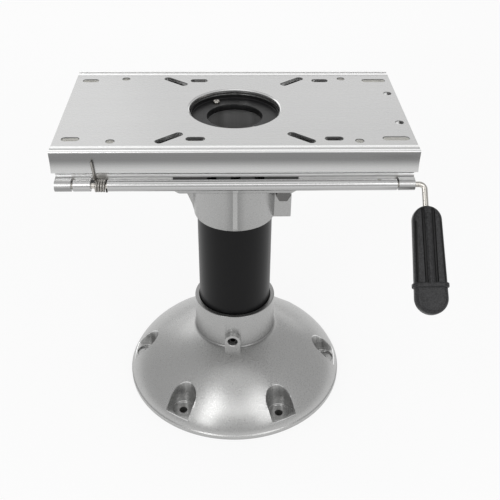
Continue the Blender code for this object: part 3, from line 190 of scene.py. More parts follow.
class Finish:
    """A material's node tree."""

    def __init__(self, name):
        self.material = bpy.data.materials.new(name)
        self.material.use_nodes = True
        self.nodes = self.material.node_tree.nodes
        self.links = self.material.node_tree.links
        self.shader = self.nodes["Principled BSDF"]

    def node(self, kind, settings, *values, output=0, **named):
        """Add a node, set it up, then give its sockets values or links."""
        made = self.nodes.new(kind)
        for name, value in settings.items():
            setattr(made, name, value)
        for index, value in enumerate(values):
            self.feed(made.inputs[index], value)
        for name, value in named.items():
            self.feed(made.inputs[name.replace("_", " ").title()], value)
        return Value(self, made.outputs[output])

    def feed(self, socket, value):
        if isinstance(value, Value):
            self.links.new(value.socket, socket)
        else:
            socket.default_value = value

    def place(self):
        """Object coordinates."""
        coordinates = self.nodes.new("ShaderNodeTexCoord")
        return Value(self, coordinates.outputs["Object"])

    def axis(self, place, name):
        split = self.nodes.new("ShaderNodeSeparateXYZ")
        self.links.new(place.socket, split.inputs[0])
        return Value(self, split.outputs[name])

    def radius(self, place):
        """Distance from the column's axis."""
        x, y = (self.axis(place, name) for name in "XY")
        return (x * x + y * y).power(0.5)

    def stretched(self, place, scale):
        return self.node("ShaderNodeMapping", {}, place, Scale=scale)

    def noise(self, place, scale, detail=2.0, roughness=0.5):
        return self.node("ShaderNodeTexNoise", {}, Vector=place, Scale=scale, Detail=detail,
                         Roughness=roughness)

    def cells(self, place, scale):
        """Random grey for each cell."""
        colour = self.node("ShaderNodeTexVoronoi", {}, Vector=place, Scale=scale, output=1)
        return self.node("ShaderNodeSeparateColor", {}, colour)

    def blend(self, first, second, mask):
        """Mix two colours by a mask, which may go past one."""
        mixed = self.nodes.new("ShaderNodeMix")
        mixed.data_type = "RGBA"
        mixed.clamp_factor = False
        self.feed(mixed.inputs[0], mask)
        self.feed(mixed.inputs[6], first)
        self.feed(mixed.inputs[7], second)
        return Value(self, mixed.outputs[2])

    def bump(self, height, strength, distance):
        bumped = self.node("ShaderNodeBump", {}, Height=height, Strength=strength, Distance=distance)
        self.feed(self.shader.inputs["Normal"], bumped)

    def set(self, **values):
        for name, value in values.items():
            self.feed(self.shader.inputs[name.replace("_", " ")], value)
        return self.material


def shade(colour, factor):
    return tuple(channel * factor for channel in colour[:3]) + (1.0,)


class PEDESTAL_PG_castings(bpy.types.PropertyGroup):
    """Sizes and paint of the foot and the swivel housing."""

    rim_height: FloatProperty(name="Rim height", description="Upright edge of the foot",
                              default=5 * MM, unit="LENGTH")
    dome_rise: FloatProperty(name="Dome rise", description="From the rim up to the socket",
                             default=54 * MM, unit="LENGTH")
    socket_wall: FloatProperty(name="Socket wall", description="Wall round the column's foot",
                               default=4.7 * MM, unit="LENGTH")
    fillet: FloatProperty(name="Fillet", description="Between the dome and the socket",
                          default=1.8 * MM, unit="LENGTH")
    pocket_width: FloatProperty(name="Pocket width", description="Width of a deck screw's pocket",
                                default=27.5 * MM, unit="LENGTH")
    pocket_floor: FloatProperty(name="Pocket floor", description="Height of a pocket's floor",
                                default=12.5 * MM, unit="LENGTH")
    edge: FloatProperty(name="Edge", description="Rounding of the cast edges",
                        default=0.8 * MM, unit="LENGTH")
    paint: FloatVectorProperty(name="Paint", description="Colour of the silver paint",
                               default=(0.52, 0.52, 0.515), subtype="COLOR")
    flake: FloatProperty(name="Flake", description="Size of the paint's metal flakes",
                         default=0.55 * MM, unit="LENGTH")
    tube: FloatVectorProperty(name="Tube", description="Colour of the column's coating",
                              default=(0.004, 0.004, 0.0045), subtype="COLOR")


class PEDESTAL_PG_slide(bpy.types.PropertyGroup):
    """Sizes and finish of the seat plate, the track and the lock bar."""

    slot_width: FloatProperty(name="Slot width", description="Width of the seat's slots",
                              default=6.6 * MM, unit="LENGTH")
    hole_chamfer: FloatProperty(name="Hole chamfer", description="Bright edge round the slots",
                                default=0.45 * MM, unit="LENGTH")
    window_chamfer: FloatProperty(name="Window chamfer", description="Bright edge of the round opening",
                                  default=1.0 * MM, unit="LENGTH")
    plate: FloatProperty(name="Plate", description="Thickness of the seat plate",
                         default=3.5 * MM, unit="LENGTH")
    skirt: FloatProperty(name="Skirt", description="Wall of the seat plate's skirts",
                         default=3.0 * MM, unit="LENGTH")
    metal: FloatVectorProperty(name="Metal", description="Colour of the clear anodised metal",
                               default=(0.48, 0.48, 0.478), subtype="COLOR")
    nylon: FloatVectorProperty(name="Nylon", description="Colour of the glides and bushings",
                               default=(0.74, 0.73, 0.68), subtype="COLOR")


class PEDESTAL_PG_lever(bpy.types.PropertyGroup):
    """Sizes and colours of the lever, its grip and its spring."""

    grip_length: FloatProperty(name="Grip length", description="Length of the moulded grip",
                               default=89.6 * MM, unit="LENGTH")
    grip_top: FloatProperty(name="Grip top", description="Width of the grip near the rod",
                            default=24 * MM, unit="LENGTH")
    grip_end: FloatProperty(name="Grip end", description="Width of the grip's free end",
                            default=27 * MM, unit="LENGTH")
    grip_thickness: FloatProperty(name="Grip thickness", description="Front to back",
                                  default=12.5 * MM, unit="LENGTH")
    rubber: FloatVectorProperty(name="Grip colour", description="Colour of the moulded grip",
                                default=(0.023, 0.023, 0.024), subtype="COLOR")
    steel: FloatVectorProperty(name="Steel", description="Colour of the rod and the fasteners",
                               default=(0.40, 0.385, 0.36), subtype="COLOR")
    wire: FloatProperty(name="Spring wire", description="Diameter of the spring's wire",
                        default=1.8 * MM, unit="LENGTH")


class PEDESTAL_PG_stage(bpy.types.PropertyGroup):
    """Light and floor."""

    floor: FloatVectorProperty(name="Floor", description="Colour of the floor",
                               default=(0.93, 0.93, 0.93), subtype="COLOR")
    key: FloatProperty(name="Key light", description="Power of the wide lamp in front", default=1.8)
    side: FloatProperty(name="Side lights", description="Power of each lamp at the sides", default=2.9)
    back: FloatProperty(name="Back light", description="Power of the panel behind", default=3.5)
    world: FloatProperty(name="Surroundings", description="Strength of the light from all round",
                         default=0.55)


def deselect():
    """Leave edit mode and select nothing."""
    if bpy.context.object and bpy.context.object.mode == "EDIT":
        bpy.ops.object.mode_set(mode="OBJECT")
    bpy.ops.object.select_all(action="DESELECT")


def only(piece):
    """Select one piece and make it active."""
    deselect()
    piece.select_set(True)
    bpy.context.view_layer.objects.active = piece
    return piece


def begin_edit(name):
    """Name the primitive just added, fix its place in its mesh and open it with all selected."""
    piece = bpy.context.object
    piece.name = name
    bpy.ops.object.transform_apply(location=True, rotation=True, scale=True)
    bpy.ops.object.mode_set(mode="EDIT")
    bpy.ops.mesh.select_all(action="SELECT")
    return piece


def end_edit():
    """Close the mesh, turn its faces outwards and leave edit mode."""
    bpy.ops.mesh.select_all(action="SELECT")
    bpy.ops.mesh.remove_doubles(threshold=0.002 * MM)
    bpy.ops.mesh.normals_make_consistent(inside=False)
    bpy.ops.object.mode_set(mode="OBJECT")


def pull(offset, scale=(1, 1, 1), centre=(0, 0, 0)):
    """Extrude what is selected, move it and then scale it about a centre."""
    bpy.ops.mesh.extrude_region_move(TRANSFORM_OT_translate={"value": offset})
    if scale != (1, 1, 1):
        bpy.ops.transform.resize(value=scale, center_override=centre)


def lathe(name, rows, sides=128, ring=False):
    """Draw a disc, or with ring an open circle, through rows of (radius, height)."""
    deselect()
    radius, height = rows[0]
    bpy.ops.mesh.primitive_circle_add(vertices=sides, radius=radius, location=(0, 0, height),
                                      fill_type="NOTHING" if ring else "NGON")
    piece = begin_edit(name)
    for (old, start), (new, end) in zip(rows, rows[1:]):
        pull((0, 0, end - start), (new / old, new / old, 1), (0, 0, end))
    end_edit()
    return piece


def cylinder(name, radius, start, end, sides=32):
    """A round rod or drill along Z."""
    return lathe(name, [(radius, start), (radius, end)], sides)


def loft(name, outline, levels):
    """Draw an outline point by point, fill it and pull it up through (height, x and y scale)."""
    deselect()
    (x, y), (height, wide, deep) = outline[0], levels[0]
    bpy.ops.mesh.primitive_plane_add(size=MM, location=(x * wide, y * deep, height))
    piece = begin_edit(name)
    bpy.ops.mesh.merge(type="CENTER")
    for next_x, next_y in outline[1:]:
        step = ((next_x - x) * wide, (next_y - y) * deep, 0)
        bpy.ops.mesh.extrude_vertices_move(TRANSFORM_OT_translate={"value": step})
        x, y = next_x, next_y
    bpy.ops.mesh.select_all(action="SELECT")
    bpy.ops.mesh.edge_face_add()
    for (start, old_wide, old_deep), (end, new_wide, new_deep) in zip(levels, levels[1:]):
        pull((0, 0, end - start), (new_wide / old_wide, new_deep / old_deep, 1), (0, 0, end))
    end_edit()
    return piece


def prism(name, outline, start, end):
    return loft(name, outline, [(start, 1, 1), (end, 1, 1)])


def box(name, lowest, highest):
    """A block between two corners."""
    lowest, highest = Vector(lowest), Vector(highest)
    deselect()
    bpy.ops.mesh.primitive_cube_add(size=1, location=(lowest + highest) / 2, scale=highest - lowest)
    piece = bpy.context.object
    piece.name = name
    bpy.ops.object.transform_apply(location=True, rotation=True, scale=True)
    return piece


def moved(piece, location=(0, 0, 0), rotation=(0, 0, 0)):
    """Turn and place a piece, and keep its place in its mesh."""
    only(piece)
    piece.rotation_euler = rotation
    piece.location = location
    bpy.ops.object.transform_apply(location=True, rotation=True, scale=True)
    return piece


def copied(piece, name):
    """A copy with its own mesh."""
    only(piece)
    bpy.ops.object.duplicate(linked=False)
    bpy.context.object.name = name
    return bpy.context.object


def joined(name, pieces):
    """Separate shapes in one object."""
    deselect()
    for piece in pieces:
        piece.select_set(True)
    bpy.context.view_layer.objects.active = pieces[0]
    bpy.ops.object.join()
    bpy.context.object.name = name
    return bpy.context.object


def combine(piece, tool, operation):
    """Apply one Boolean and remove its tool."""
    only(piece)
    step = piece.modifiers.new("combine", "BOOLEAN")
    step.object = tool
    step.operation = operation
    step.solver = "EXACT"
    bpy.ops.object.modifier_apply(modifier=step.name)
    bpy.data.objects.remove(tool, do_unlink=True)
    return piece


def cut(piece, tool):
    return combine(piece, tool, "DIFFERENCE")


def add(piece, tool):
    return combine(piece, tool, "UNION")


def rounded(piece, width, segments=2, angle=45):
    """Round the sharp edges."""
    only(piece)
    step = piece.modifiers.new("edges", "BEVEL")
    step.width = width
    step.segments = segments
    step.limit_method = "ANGLE"
    step.angle_limit = math.radians(angle)
    step.miter_outer = "MITER_ARC"
    bpy.ops.object.modifier_apply(modifier=step.name)
    return piece


def finished(piece, body, material, slot, *nodes, angle=30):
    """Shade a piece and let it ride on a body, in place of CAD nodes, with its material."""
    only(piece)
    bpy.ops.object.shade_smooth_by_angle(angle=math.radians(angle))
    piece.data.materials.clear()
    piece.data.materials.append(material)
    if body:
        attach(piece, body)
    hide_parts(*nodes)
    return piece


def repaint(material, *nodes):
    """Give CAD nodes that stay a better material."""
    for name in nodes:
        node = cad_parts[name]
        node.data.materials.clear()
        node.data.materials.append(material)


def arc(x, y, radius, start, end, steps):
    """Points round a centre, from one angle in degrees to another."""
    angles = [math.radians(start + (end - start) * i / steps) for i in range(steps + 1)]
    return [(x + radius * math.cos(a), y + radius * math.sin(a)) for a in angles]


def stadium(length, width, steps=18):
    """Outline of a slot, round its own middle."""
    reach = (length - width) / 2
    return arc(reach, 0, width / 2, -90, 90, steps) + arc(-reach, 0, width / 2, 90, 270, steps)


def hexagon(across_flats):
    return arc(0, 0, across_flats / math.sqrt(3), 0, 300, 5)


ALONG_X = (math.radians(90), 0, math.radians(90))
ALONG_Y = (math.radians(90), 0, 0)
LYING = (0, math.radians(90), 0)
HANGING = (math.radians(-90), 0, 0)


def silver_paint(name, settings, painted_shading):
    """Cast metal under silver paint: fine flakes, slight orange peel, and painted light and shade from its
    shape.
    """
    finish = Finish(name)
    place = finish.place()
    glint = finish.cells(place, 1 / settings.flake)
    mottle = finish.noise(place, 1100.0, 2.0, 0.6)
    cloud = finish.noise(place, 22.0, 3.0, 0.5)
    tone = 0.93 + 0.10 * (glint - 0.5) + 0.14 * (mottle - 0.5) + 0.08 * (cloud - 0.5)
    # Painted light and shade from the piece's shape darken or brighten the paint's tone
    tone = tone * painted_shading(finish, place, settings)
    colour = finish.blend(shade(settings.paint, 0.0), shade(settings.paint, 1.0), tone)
    finish.bump(mottle, 0.2, 0.05 * MM)
    roughness = 0.26 + 0.14 * glint
    return finish.set(Base_Color=colour, Roughness=roughness, Metallic=0.88)


def foot_painted_shading(finish, place, settings):
    """Painted shade in the screw pockets and in the fillet round the socket's foot, painted highlights on
    the pockets' edges, and darker on the socket's end and upright wall.
    """
    radius, z = finish.radius(place), finish.axis(place, "Z")
    socket = SOCKET_BORE + settings.socket_wall
    brow = DECK + settings.rim_height + MM
    crest = brow + settings.dome_rise
    share = ((radius - socket) / (DOME_EDGE - socket)).clamped()
    dome = brow + settings.dome_rise * (1 - share.power(DOME_SPREAD)).power(DOME_FULLNESS)
    depth = dome - z
    # Painted shade deeper in the screw pockets
    recess = depth.between(1.2 * MM, 8 * MM, 1.0, 0.8)
    inward = radius.fading(0.97 * DOME_EDGE, 0.985 * DOME_EDGE)
    # Painted highlight along the pockets' rounded edges
    edge = depth.between(0.06 * MM, 0.25 * MM) * depth.fading(0.9 * MM, 1.4 * MM) * inward
    end = z.between(SOCKET_TOP - 0.5 * MM, SOCKET_TOP - 0.1 * MM, 1.0, 0.62)
    # Painted shade in the fillet at the socket's foot
    corner = radius.between(socket, socket + 3 * MM, 0.3, 0.0) * z.fading(crest + MM, crest + 3 * MM)
    upright = radius.between(socket + MM, socket + 3 * MM, 0.86, 1.0)
    return recess * end * upright * (1 + 1.6 * edge) * (1 - corner)


def housing_painted_shading(finish, place, settings):
    """Painted shade beside the straight ribs and a painted highlight on their faces; the whole housing a
    little darker.
    """
    x = finish.axis(place, "X").absolute()
    # Painted shade beside the ribs, and a painted highlight on the ribs' faces
    beside = x.between(2.3 * MM, 11 * MM, 0.78, 1.0)
    rib = x.between(2.1 * MM, 2.3 * MM, 1.5, 0.0)
    return (beside + (1 - beside) * rib) * 0.86


def plate_painted_light(finish, place):
    """Painted highlights on the ridges and slot walls, painted shade on the slot edges and on the hidden
    lip, and a painted reflection on the skirts that grows brighter downwards.
    """
    z = finish.axis(place, "Z")
    inset, depth, height = PLATE_SIDE - finish.axis(place, "Y").absolute(), PLATE_TOP - z, z - SKIRT_FOOT
    # Painted highlight on the ridges near the edges
    ridge = inset.fading(11 * MM, 12.2 * MM)
    # Painted highlight on the walls below the top face, such as the slots'
    wall = depth.between(0.6 * MM, 0.9 * MM)
    # Painted shadow: the lip inside the skirt is made nearly black
    lip = height.between(3.1 * MM, 4 * MM, 0.06, 1.0)
    slots = finish.radius(place).between(48 * MM, 50 * MM) * (1 - ridge)
    # Painted shade on the slots' chamfered edges
    rim = depth.between(0.53 * MM, 0.62 * MM) * depth.fading(0.92 * MM, MM)
    flat = (1 + 0.7 * ridge + 0.75 * wall * (1 - ridge)) * lip * (1 - 0.85 * rim * slots)
    # Painted reflection on the skirt, dark at the top and bright lower down, with a painted highlight on
    # its rounded foot
    skirt = height.between(2 * MM, 13 * MM, 1.32, 0.5) * height.between(GAP, 1.2 * MM, 1.6, 1.0)
    outside = inset.fading(1.1 * MM, 1.4 * MM) * depth.between(0.6 * MM, 1.3 * MM)
    return flat + (skirt - flat) * outside


def track_painted_light(finish, place):
    """Painted light on the ledge's front and painted shade on the web behind it, knuckles with a painted
    highlight on their upper half, and a painted shadow line above them.
    """
    y, z = (finish.axis(place, name) for name in "YZ")
    behind, height = y - LEDGE_FRONT, z - BAR_TOP
    knuckle = behind.fading(0, 0.2 * MM)
    # Knuckles: painted highlight on the upper half, painted shade below
    level = (z - PIVOT.z).between(0.2 * MM, 1.6 * MM, 0.36, 0.6)
    # Painted shadow line along the foot of the ledge's face, above the knuckles
    seam = height.between(-GAP, 0) * height.fading(0.7 * MM, 1.2 * MM)
    seam = seam * behind.fading(0.4 * MM, 0.6 * MM) * (1 - knuckle)
    # Painted light on the ledge's front, painted shade deeper behind it
    recess = behind.between(3.1 * MM, 3.7 * MM, 1.9, 0.12)
    inside = y.between(-73.4 * MM, -72.6 * MM, 1.0, 8.0)
    return recess * inside * (1 + (level - 1) * knuckle) * (1 - 0.6 * seam)


def bar_painted_shade(finish, place):
    """Painted shade on the lower half, and dark painted shade where the flange lies under the ledge."""
    y, z = (finish.axis(place, name) for name in "YZ")
    # Painted shade on the bar's lower half, and dark painted shade on the flange behind the ledge's front
    below = (z - PIVOT.z).between(-MM, 2 * MM, 0.72, 1.0)
    return below * (y - LEDGE_FRONT).between(-0.6 * MM, 0, 1.0, 0.1)


def anodised(name, settings, painted_shading, level=1.0, rough=0.27):
    """Clear anodised extrusion with long die lines, and painted light and shade from the given function."""
    finish = Finish(name)
    place = finish.place()
    lines = finish.noise(finish.stretched(place, (1.5, 900.0, 900.0)), 1.0, 2.0, 0.5)
    broad = finish.noise(finish.stretched(place, (3.0, 60.0, 60.0)), 1.0, 2.0, 0.5)
    tone = 0.97 + 0.04 * (lines - 0.5) + 0.04 * (broad - 0.5)
    # Painted light and shade from the piece's shape
    tone = tone * painted_shading(finish, place)
    colour = finish.blend(shade(settings.metal, 0.0), shade(settings.metal, level), tone)
    finish.bump(lines, 0.04, 0.02 * MM)
    roughness = rough + 0.06 * (lines - 0.5)
    return finish.set(Base_Color=colour, Roughness=roughness, Metallic=0.95)


def black_coating(name, colour):
    """Satin black coating on a tube, with faint upright wipe marks."""
    finish = Finish(name)
    place = finish.place()
    grain = finish.noise(place, 1400.0, 2.0, 0.6)
    wipe = finish.noise(finish.stretched(place, (120.0, 120.0, 6.0)), 1.0, 3.0, 0.5)
    tone = 0.9 + 0.3 * (wipe - 0.5)
    coated = finish.blend(shade(colour, 0.0), shade(colour, 1.0), tone)
    bare = finish.radius(place).fading(COLUMN_RADIUS - 6 * MM, COLUMN_RADIUS - 5 * MM)
    metal = finish.blend((0.25, 0.25, 0.25, 1.0), (0.6, 0.6, 0.6, 1.0), wipe)
    mixed = finish.blend(coated, metal, bare)
    finish.bump(grain, 0.12, 0.03 * MM)
    roughness = 0.34 + 0.12 * (wipe - 0.5) + 0.06 * (grain - 0.5)
    finish.shader.inputs["Specular IOR Level"].default_value = 0.18
    return finish.set(Base_Color=mixed, Roughness=roughness, Metallic=bare * 0.6)


def grip_groove_shade(finish, place):
    """Painted shade in the grooves beside the rib and along the sides."""
    x = (finish.axis(place, "X") - LEVER_X).absolute()
    y, z = (finish.axis(place, name) for name in "YZ")
    depth = (y - GRIP_PLACE.y) * DOWN.y + (z - GRIP_PLACE.z) * DOWN.z
    beside = x.between(2.8 * MM, 3.1 * MM) * x.fading(5.2 * MM, 5.8 * MM)
    across = (x - depth * 0.023 - 9.9 * MM).absolute()
    along = across.fading(0.7 * MM, 1.2 * MM) * depth.between(12 * MM, 14 * MM)
    above = depth.fading(63 * MM, 64.5 * MM)
    # Painted shade darkens the grooves above the band
    return 1 - 0.93 * (beside + along) * above


def moulded_black(name, colour, painted_shading=None):
    """Grained black plastic, with painted shade where a shading function is given."""
    finish = Finish(name)
    place = finish.place()
    grain = finish.noise(place, 1500.0, 3.0, 0.7)
    tone = 0.6 + 1.1 * finish.cells(place, 1200.0)
    if painted_shading:
        # Painted shade from the given function
        tone = tone * painted_shading(finish, place)
    mixed = finish.blend(shade(colour, 0.0), shade(colour, 1.0), tone)
    finish.bump(grain, 0.4, 0.12 * MM)
    finish.shader.inputs["Specular IOR Level"].default_value = 0.25
    return finish.set(Base_Color=mixed, Roughness=0.38 + 0.15 * (grain - 0.5), Metallic=0.0)


def bright_steel(name, colour, streak=(400.0, 400.0, 400.0)):
    """Drawn steel with fine marks."""
    finish = Finish(name)
    place = finish.place()
    marks = finish.noise(finish.stretched(place, streak), 1.0, 3.0, 0.6)
    mixed = finish.blend(shade(colour, 0.82), shade(colour, 1.08), marks)
    finish.bump(marks, 0.1, 0.03 * MM)
    return finish.set(Base_Color=mixed, Roughness=0.2 + 0.12 * marks, Metallic=1.0)


def natural_nylon(name, colour):
    """Off-white nylon, slightly mottled."""
    finish = Finish(name)
    place = finish.place()
    cloud = finish.noise(place, 90.0, 2.0, 0.5)
    mixed = finish.blend(shade(colour, 0.92), shade(colour, 1.04), cloud)
    finish.bump(finish.noise(place, 800.0, 2.0, 0.5), 0.15, 0.05 * MM)
    return finish.set(Base_Color=mixed, Roughness=0.5, Metallic=0.0)


def dome_height(settings, radius, socket):
    """Height of the foot's outside at a radius."""
    share = min(max((radius - socket) / (DOME_EDGE - socket), 0.0), 1.0)
    rise = (1 - share ** DOME_SPREAD) ** DOME_FULLNESS
    return DECK + settings.rim_height + MM + settings.dome_rise * rise


def foot_profile(settings, socket):
    """Rows of (radius, height) from the deck up over the dome into the column's socket."""
    edge, lip, count = 0.8 * MM, 0.9 * MM, 44
    rows = [(RIM_RADIUS - edge, DECK), (RIM_RADIUS, DECK + edge), (RIM_RADIUS, DECK + settings.rim_height)]
    shoulder = socket + settings.fillet
    for i in range(count, -1, -1):
        share = (1 - i / count) ** 1.7
        radius = shoulder + (DOME_EDGE - shoulder) * (1 - share)
        rows.append((radius, dome_height(settings, radius, socket)))
    foot = dome_height(settings, shoulder, socket)
    rows += arc(shoulder, foot + settings.fillet, settings.fillet, 258, 180, 7)
    rows += arc(socket - lip, SOCKET_TOP - lip, lip, 0, 90, 4)
    bevel = 0.7 * MM
    rows += [(SOCKET_BORE + bevel, SOCKET_TOP), (SOCKET_BORE, SOCKET_TOP - bevel)]
    return rows + [(SOCKET_BORE, COLUMN_FOOT - GAP)]


def pocket_shape(settings, grow, reach):
    """Arch of a deck screw's pocket, open outwards."""
    half = settings.pocket_width / 2 + grow
    return [(reach, -half), (reach, half)] + arc(SCREW_CIRCLE, 0, half, 90, 270, 24)


class PEDESTAL_OT_foot(bpy.types.Operator):
    """Build the domed foot with its screw pockets, ribs and socket"""

    bl_idname = "pedestal.foot"
    bl_label = "Foot"
    bl_options = {"REGISTER", "UNDO"}

    def execute(self, context):
        settings = context.scene.pedestal_castings
        socket = SOCKET_BORE + settings.socket_wall
        foot = lathe("foot", foot_profile(settings, socket), 192)
        cut(foot, self.cavity(settings, socket))
        for angle in self.pocket_turns():
            self.cut_pocket(foot, settings, angle)
        self.add_boss(foot, settings, socket, FOOT_TURN - math.radians(90))
        rounded(foot, settings.edge, 2, 50)
        paint = silver_paint("foot_paint", settings, foot_painted_shading)
        finished(foot, "base", paint, "cast_silver", "base_casting")
        return {"FINISHED"}

    def pocket_turns(self):
        return [FOOT_TURN + math.tau * i / POCKETS for i in range(POCKETS)]

    def cavity(self, settings, socket):
        """Hollow under the dome, less the ribs and the pockets' walls."""
        wall, above, half_rib = 5 * MM, 60 * MM, 2.5 * MM
        inner, outer = socket + MM, DOME_EDGE - wall
        rows = [(inner, DECK - wall), (inner, dome_height(settings, inner, socket) - wall)]
        for i in range(1, 17):
            radius = inner + (outer - inner) * (1 - (1 - i / 16) ** 1.6)
            rows.append((radius, dome_height(settings, radius, socket) - wall))
        rows += [(outer, DECK - wall), (inner, DECK - wall)]
        hollow = lathe("foot_hollow", rows, 96, ring=True)
        for angle in self.pocket_turns():
            rib = box("rib", (socket - MM, -half_rib, 2 * MM), (RIM_RADIUS, half_rib, above))
            cut(hollow, moved(rib, rotation=(0, 0, angle + math.pi / POCKETS)))
            seat = prism("seat", pocket_shape(settings, 3.2 * MM, RIM_RADIUS), -8 * MM, above)
            cut(hollow, moved(seat, rotation=(0, 0, angle)))
        return hollow

    def cut_pocket(self, foot, settings, angle):
        """A pocket with its spotface and deck hole."""
        floor, above = settings.pocket_floor, 70 * MM
        hole, face, depth = 4.15 * MM, 10.5 * MM, 2 * MM
        pocket = prism("pocket", pocket_shape(settings, 0, 1.2 * RIM_RADIUS), floor, above)
        cut(foot, moved(pocket, rotation=(0, 0, angle)))
        rows = [(hole, -MM), (hole, floor - depth), (face - GAP, floor - depth)]
        rows += [(face, floor - depth + GAP), (face, floor - 0.4 * MM), (face + 0.9 * MM, floor + 0.5 * MM)]
        place = Matrix.Rotation(angle, 4, "Z") @ Vector((SCREW_CIRCLE, 0, 0))
        cut(foot, moved(lathe("drill", rows, 48), place))

    def add_boss(self, foot, settings, socket, angle):
        """Boss for the set screw, with a tapped hole."""
        half, thread, edge = 8.15 * MM, 5.05 * MM, 0.5 * MM
        start, face = socket - 2.3 * MM, socket + 6.6 * MM
        foot_end = dome_height(settings, face, socket) - 2.5 * MM - BOSS_HEIGHT
        outline = [(half, foot_end)] + arc(0, 0, half, 0, 180, 32) + [(-half, foot_end)]
        boss = prism("boss", outline, start, face)
        rows = [(thread, start - 5 * MM), (thread, face - edge), (thread + 1.05 * MM, face + 0.6 * MM)]
        for shape, act in ((boss, add), (lathe("tap", rows, 40), cut)):
            moved(shape, (0, 0, BOSS_HEIGHT), ALONG_X)
            act(foot, moved(shape, rotation=(0, 0, angle)))


class PEDESTAL_OT_column(bpy.types.Operator):
    """Build the tube and the ring on its top end, with holes for the ring's screws"""

    bl_idname = "pedestal.column"
    bl_label = "Column"
    bl_options = {"REGISTER", "UNDO"}

    def execute(self, context):
        settings = context.scene.pedestal_castings
        self.tube(settings)
        self.ring(context.scene.pedestal_lever)
        return {"FINISHED"}

    def tube(self, settings):
        outer, inner, edge = COLUMN_RADIUS, COLUMN_RADIUS - 6.35 * MM, 0.6 * MM
        groove = high("thrust_ring").z + GAP
        groove_foot, bottom = groove - 3.6 * MM, outer - 1.5 * MM
        rows = [(inner + edge, COLUMN_TOP), (outer - edge, COLUMN_TOP), (outer, COLUMN_TOP - edge)]
        rows += [(outer, groove), (bottom, groove), (bottom, groove_foot), (outer, groove_foot)]
        rows += [(outer, COLUMN_FOOT + MM), (outer - MM, COLUMN_FOOT), (inner, COLUMN_FOOT)]
        rows += [(inner, COLUMN_TOP - edge), rows[0]]
        tube = lathe("tube", rows, 160, ring=True)
        self.drill(tube, 1.8 * MM, RING_TOP - 14 * MM)
        coating = black_coating("column_coating", settings.tube)
        finished(tube, "base", coating, "black_tube", "column")

    def ring(self, settings):
        bore, edge = 24.7 * MM, 0.5 * MM
        face, rim = RING_TOP - 3.2 * MM, RING_RADIUS - 1.4 * MM
        rows = [(rim - edge, face), (rim, face + edge), (rim, RING_TOP), (RING_RADIUS - edge, RING_TOP)]
        rows += [(RING_RADIUS, RING_TOP - edge), (RING_RADIUS, RING_FOOT), (bore, RING_FOOT)]
        rows += [(bore, face - 2 * edge), (bore + edge, face), rows[0]]
        ring = lathe("ring", rows, 160, ring=True)
        self.drill(ring, 1.9 * MM, RING_FOOT - MM)
        black = moulded_black("ring_black", shade(settings.rubber, 0.35))
        finished(ring, "base", black, "black_plastic", "top_ring")

    def drill(self, piece, radius, start):
        """Holes for the ring's two screws, from start up through the ring."""
        for node in ("ring_screw_1", "ring_screw_2"):
            hole = cylinder("hole", radius, start, RING_TOP + MM, 24)
            cut(piece, moved(hole, (*middle(node).xy, 0)))


def flange_outline():
    """Octagonal flange of the housing."""
    x, y, corner = FLANGE_HALF, FLANGE_SIDE, 15 * MM
    return [(x, corner - y), (x, y - corner), (x - corner, y), (corner - x, y),
            (-x, y - corner), (-x, corner - y), (corner - x, -y), (x - corner, -y)]


